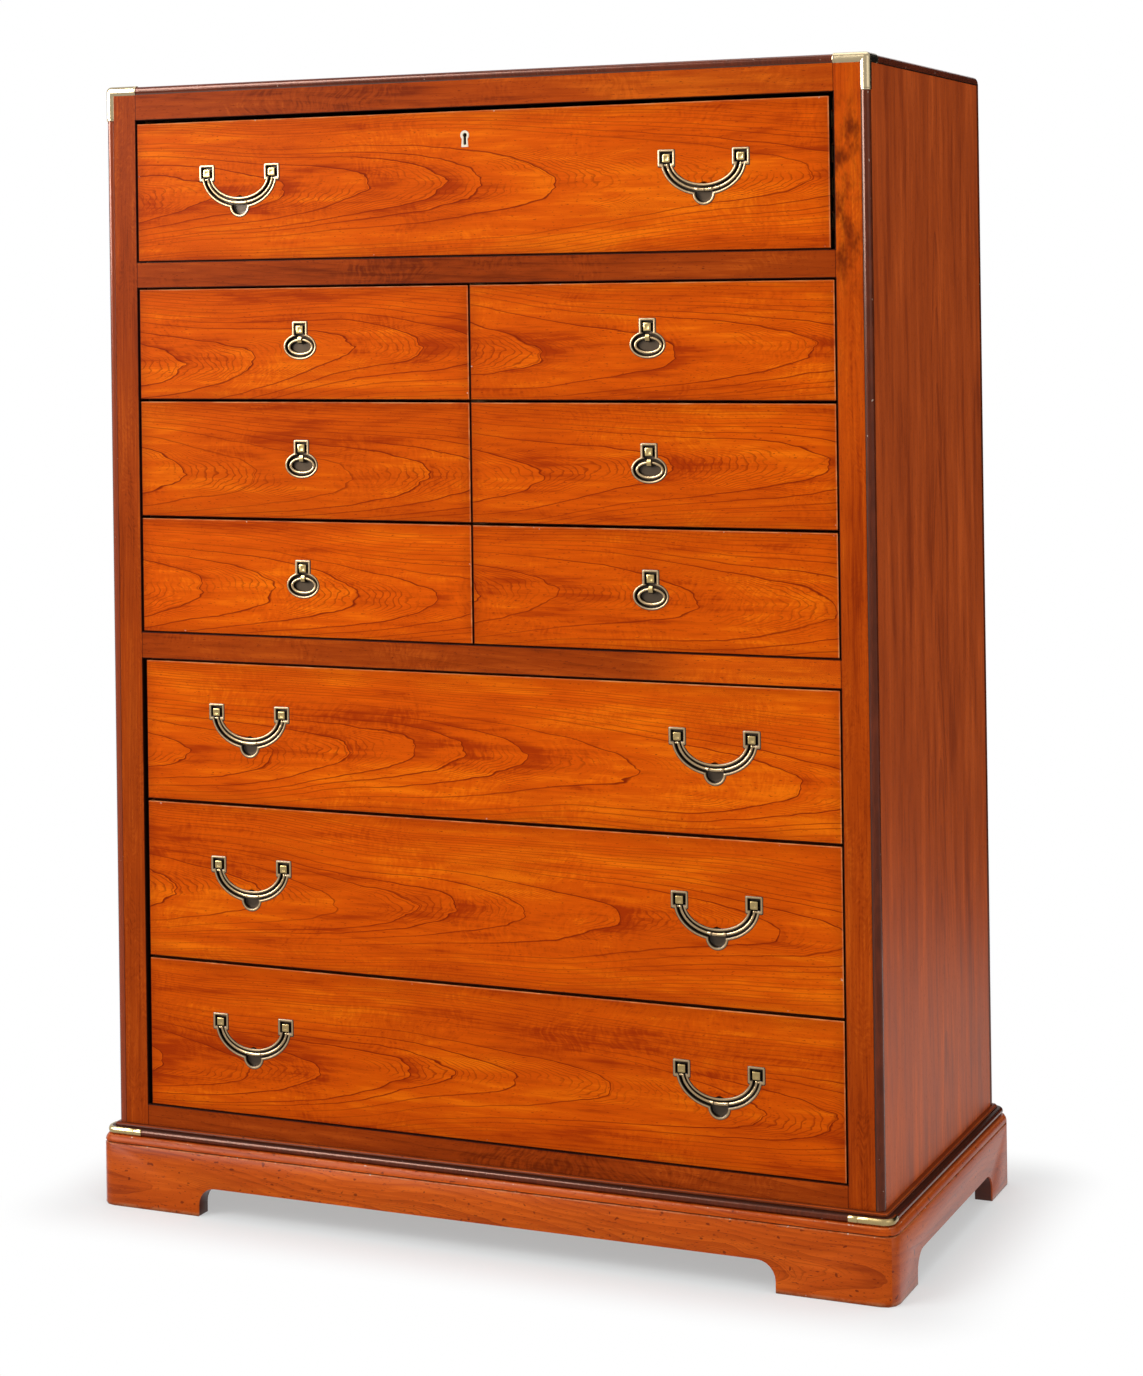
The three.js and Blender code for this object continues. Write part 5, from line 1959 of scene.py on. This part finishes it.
@dataclass
class Studio:
    """The pale floor, the soft lamps and the camera, in metres."""

    camera_place: Point = (1.43285, -3.22685, 1.10443)
    yaw: float = 0.40924
    pitch: float = 0.00168
    roll: float = -0.01353
    focal_pixels: float = 2873.26
    centre_row: float = 287.53
    image: tuple[int, int] = (1143, 1376)
    sensor: float = 36.0
    floor_size: float = 30.0
    foot: Flat = (0.504, 0.242)
    flag_back: float = 1.4
    flag_sides: Flat = (0.4, 6.0)
    flag_height: float = 2.6
    floor_gap: float = 0.0002
    shadow_reach: float = 0.13
    shadow_light: float = 0.42
    soft_light: float = 0.45

    def build(self) -> None:
        """Sets the stage."""
        self.camera()
        self.floor()
        self.flag()
        self.world()
        self.lamps()
        bpy.context.scene.view_settings.view_transform = "Standard"

    def camera(self) -> None:
        """The photograph's viewpoint."""
        data = bpy.data.cameras.new("viewpoint")
        camera = bpy.data.objects.new("viewpoint", data)
        bpy.context.scene.collection.objects.link(camera)
        data.sensor_fit = "VERTICAL"
        data.sensor_height = self.sensor
        data.sensor_width = self.sensor
        data.lens = self.focal_pixels * self.sensor / self.image[1]
        data.shift_y = -(self.image[1] / 2 - self.centre_row) / self.image[1]
        level = math.cos(self.pitch)
        ahead = (-math.sin(self.yaw) * level, math.cos(self.yaw) * level, math.sin(self.pitch))
        forward = Vector(ahead)
        right = forward.cross(Vector((0, 0, 1))).normalized()
        up = right.cross(forward)
        tilted = right * math.cos(self.roll) + up * math.sin(self.roll)
        top = up * math.cos(self.roll) - right * math.sin(self.roll)
        turned = Matrix((tilted, top, -forward)).transposed()
        camera.matrix_world = Matrix.Translation(self.camera_place) @ turned.to_4x4()
        data.clip_end = 100.0
        bpy.context.scene.camera = camera

    def floor(self) -> None:
        """A pale floor that shows white and keeps the chest's shadow."""
        half = self.floor_size / 2
        shader = Shader("floor_paper")
        x, y, _ = shader.place()
        paper = shader.noise(x * 3.0, y * 3.0, 0.0)
        colour = shader.blend(paper, PAPER_COOL, PAPER_WARM)
        shade = shader.add("ShaderNodeBsdfDiffuse", {}, {"Color": colour})
        glow = shader.add("ShaderNodeEmission", {}, {"Color": WHITE, "Strength": 1.0})
        past_x = (abs(x) - self.foot[0]).above(0.0)
        past_y = (abs(y) - self.foot[1]).above(0.0)
        clear = (past_x * past_x + past_y * past_y).root().step(0.0, self.shadow_reach)
        share = shader.seen(self.shadow_light + clear * (1 - self.shadow_light))
        mixed = shader.add("ShaderNodeMixShader", {}, {0: share, 1: shade, 2: glow})
        level = -self.floor_gap
        corners = ((-half, -half), (half, -half), (half, half), (-half, half))
        self._sheet("floor", [(x, y, level) for x, y in corners], shader.ended(mixed))

    def _sheet(
        self, name: str, corners: Sequence[Point], material: bpy.types.Material
    ) -> bpy.types.Object:
        """Adds a flat four-cornered piece of the stage.

        Args:
            name: its name.
            corners: its corners, in metres.
            material: its material.

        Returns:
            The piece.
        """
        mesh = Mesh()
        mesh.add_points(tuple(value / MILLIMETRE for value in corner) for corner in corners)
        mesh.faces.append((0, 1, 2, 3))
        sheet = mesh.made(name, material)
        sheet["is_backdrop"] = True
        return sheet

    def flag(self) -> None:
        """A dark card behind the chest that only reflections show, like a studio's unlit end."""
        shader = Shader("flag_cloth")
        shade = shader.add("ShaderNodeBsdfDiffuse", {}, {"Color": UNLIT})
        (left, right), y, top = self.flag_sides, self.flag_back, self.flag_height
        corners = ((left, y, 0.0), (right, y, 0.0), (right, y, top), (left, y, top))
        card = self._sheet("flag", corners, shader.ended(shade))
        for ray in ("camera", "diffuse", "shadow", "transmission"):
            setattr(card, f"visible_{ray}", False)

    def world(self) -> None:
        """White behind the chest, soft grey light on it."""
        shader = Shader("studio", is_world=True)
        strengths = (self.soft_light, 1.0)
        soft, white = (
            shader.add("ShaderNodeBackground", {}, {"Color": WHITE, "Strength": strength})
            for strength in strengths
        )
        inputs = {0: shader.seen(), 1: soft, 2: white}
        bpy.context.scene.world = shader.ended(shader.add("ShaderNodeMixShader", {}, inputs))

    def lamps(self) -> None:
        """Three soft lamps that light the chest, and two that only show as glare on its polish."""
        soft = (
            ("key", (-1.7, -2.3, 2.75), (0.0, -0.1, 1.0), (1.9, 1.9), 56.0),
            ("fill", (3.6, -2.0, 2.0), (0.3, 0.0, 0.7), (2.4, 2.4), 24.0),
            ("top", (0.2, 0.4, 4.2), (0.0, 0.0, 0.6), (2.8, 2.8), 60.0),
        )
        glare = (
            ("broad", (-2.5, -2.9, 3.8), (0.0, -0.2, 0.9), (1.4, 2.3), 260.0),
            ("narrow", (-3.6, -2.9, 1.75), (0.4, -0.2, 1.2), (3.2, 1.1), 330.0),
        )
        for lamp in soft:
            self._lamp(*lamp)
        for lamp in glare:
            self._lamp(*lamp).visible_diffuse = False

    def _lamp(
        self, name: str, place: Point, aim: Point, size: Flat, power: float
    ) -> bpy.types.Object:
        """Adds one oblong area lamp.

        Args:
            name: its name.
            place: where it stands.
            aim: what it points at.
            size: its width and height.
            power: its power in watts.

        Returns:
            The lamp.
        """
        data = bpy.data.lights.new(name, "AREA")
        data.shape = "RECTANGLE"
        data.size, data.size_y = size
        data.energy = power
        lamp = bpy.data.objects.new(name, data)
        bpy.context.scene.collection.objects.link(lamp)
        lamp.location = place
        lamp.rotation_euler = (Vector(aim) - Vector(place)).to_track_quat("-Z", "Y").to_euler()
        return lamp


def build_all() -> None:
    """Builds the chest, sub-assembly by sub-assembly."""
    edges = EdgeWork()
    Studio().build()
    log.info("studio set")
    Case(edges).build()
    log.info("case dressed")
    Plinth(edges).build()
    log.info("plinth dressed")
    # The long drawers' tones make their faces darker step by step from the top drawer down
    long_drawers = (
        ("long_drawer_bottom", 101.0, (-205.0, -89.0, -37.0, 49.0, 164.0, 347.0), -20.0, 0.94),
        ("long_drawer_middle", 102.0, (-185.0, -80.0, -27.0, 62.0, 184.0, 368.0), -11.0, 0.98),
        ("long_drawer_upper", 103.0, (-166.0, -75.0, -14.0, 70.0, 203.0, 400.0), -16.0, 1.02),
    )
    for name, seed, tips, heart, tone in long_drawers:
        LongDrawer(name, edges, seed, tips, heart, tone).build()
        log.info("%s dressed", name)
    tips = (-240.0, -133.0, -35.0, 20.0, 116.0, 420.0)
    TopDrawer("top_drawer", edges, 104.0, tips, -8.0, 1.04).build()
    log.info("top drawer dressed")
    small_drawers = (
        ("upper_left", 112.0, (-289.0, -154.0, -59.0), -13.0, 1.03),
        ("upper_right", 112.5, (87.0, 260.0, 421.0), -6.0, 1.02),
        ("middle_left", 111.0, (-283.0, -155.0, -56.0), -16.0, 0.97),
        ("middle_right", 111.5, (91.0, 250.0, 430.0), -11.0, 1.01),
        ("lower_left", 110.0, (-264.0, -150.0, -48.0), -13.0, 1.06),
        ("lower_right", 110.5, (104.0, 282.0, 440.0), -12.0, 1.0),
    )
    for word, seed, tips, heart, tone in small_drawers:
        SmallDrawer(f"small_drawer_{word}", edges, seed, tips, heart, tone).build()
        log.info("%s dressed", word)
    Lock().build()
    log.info("lock dressed")


def corners(bounds: tuple) -> list[list[float]]:
    """A box as plain lists."""
    return [list(corner) for corner in bounds]


def main() -> None:
    """Dresses the chest and works out its size before and after."""
    logging.basicConfig(level=logging.INFO, format="%(message)s")
    before = corners(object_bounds())
    build_all()
    {"cad": before, "visual": corners(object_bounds())}


if __name__ == "__main__":
    main()
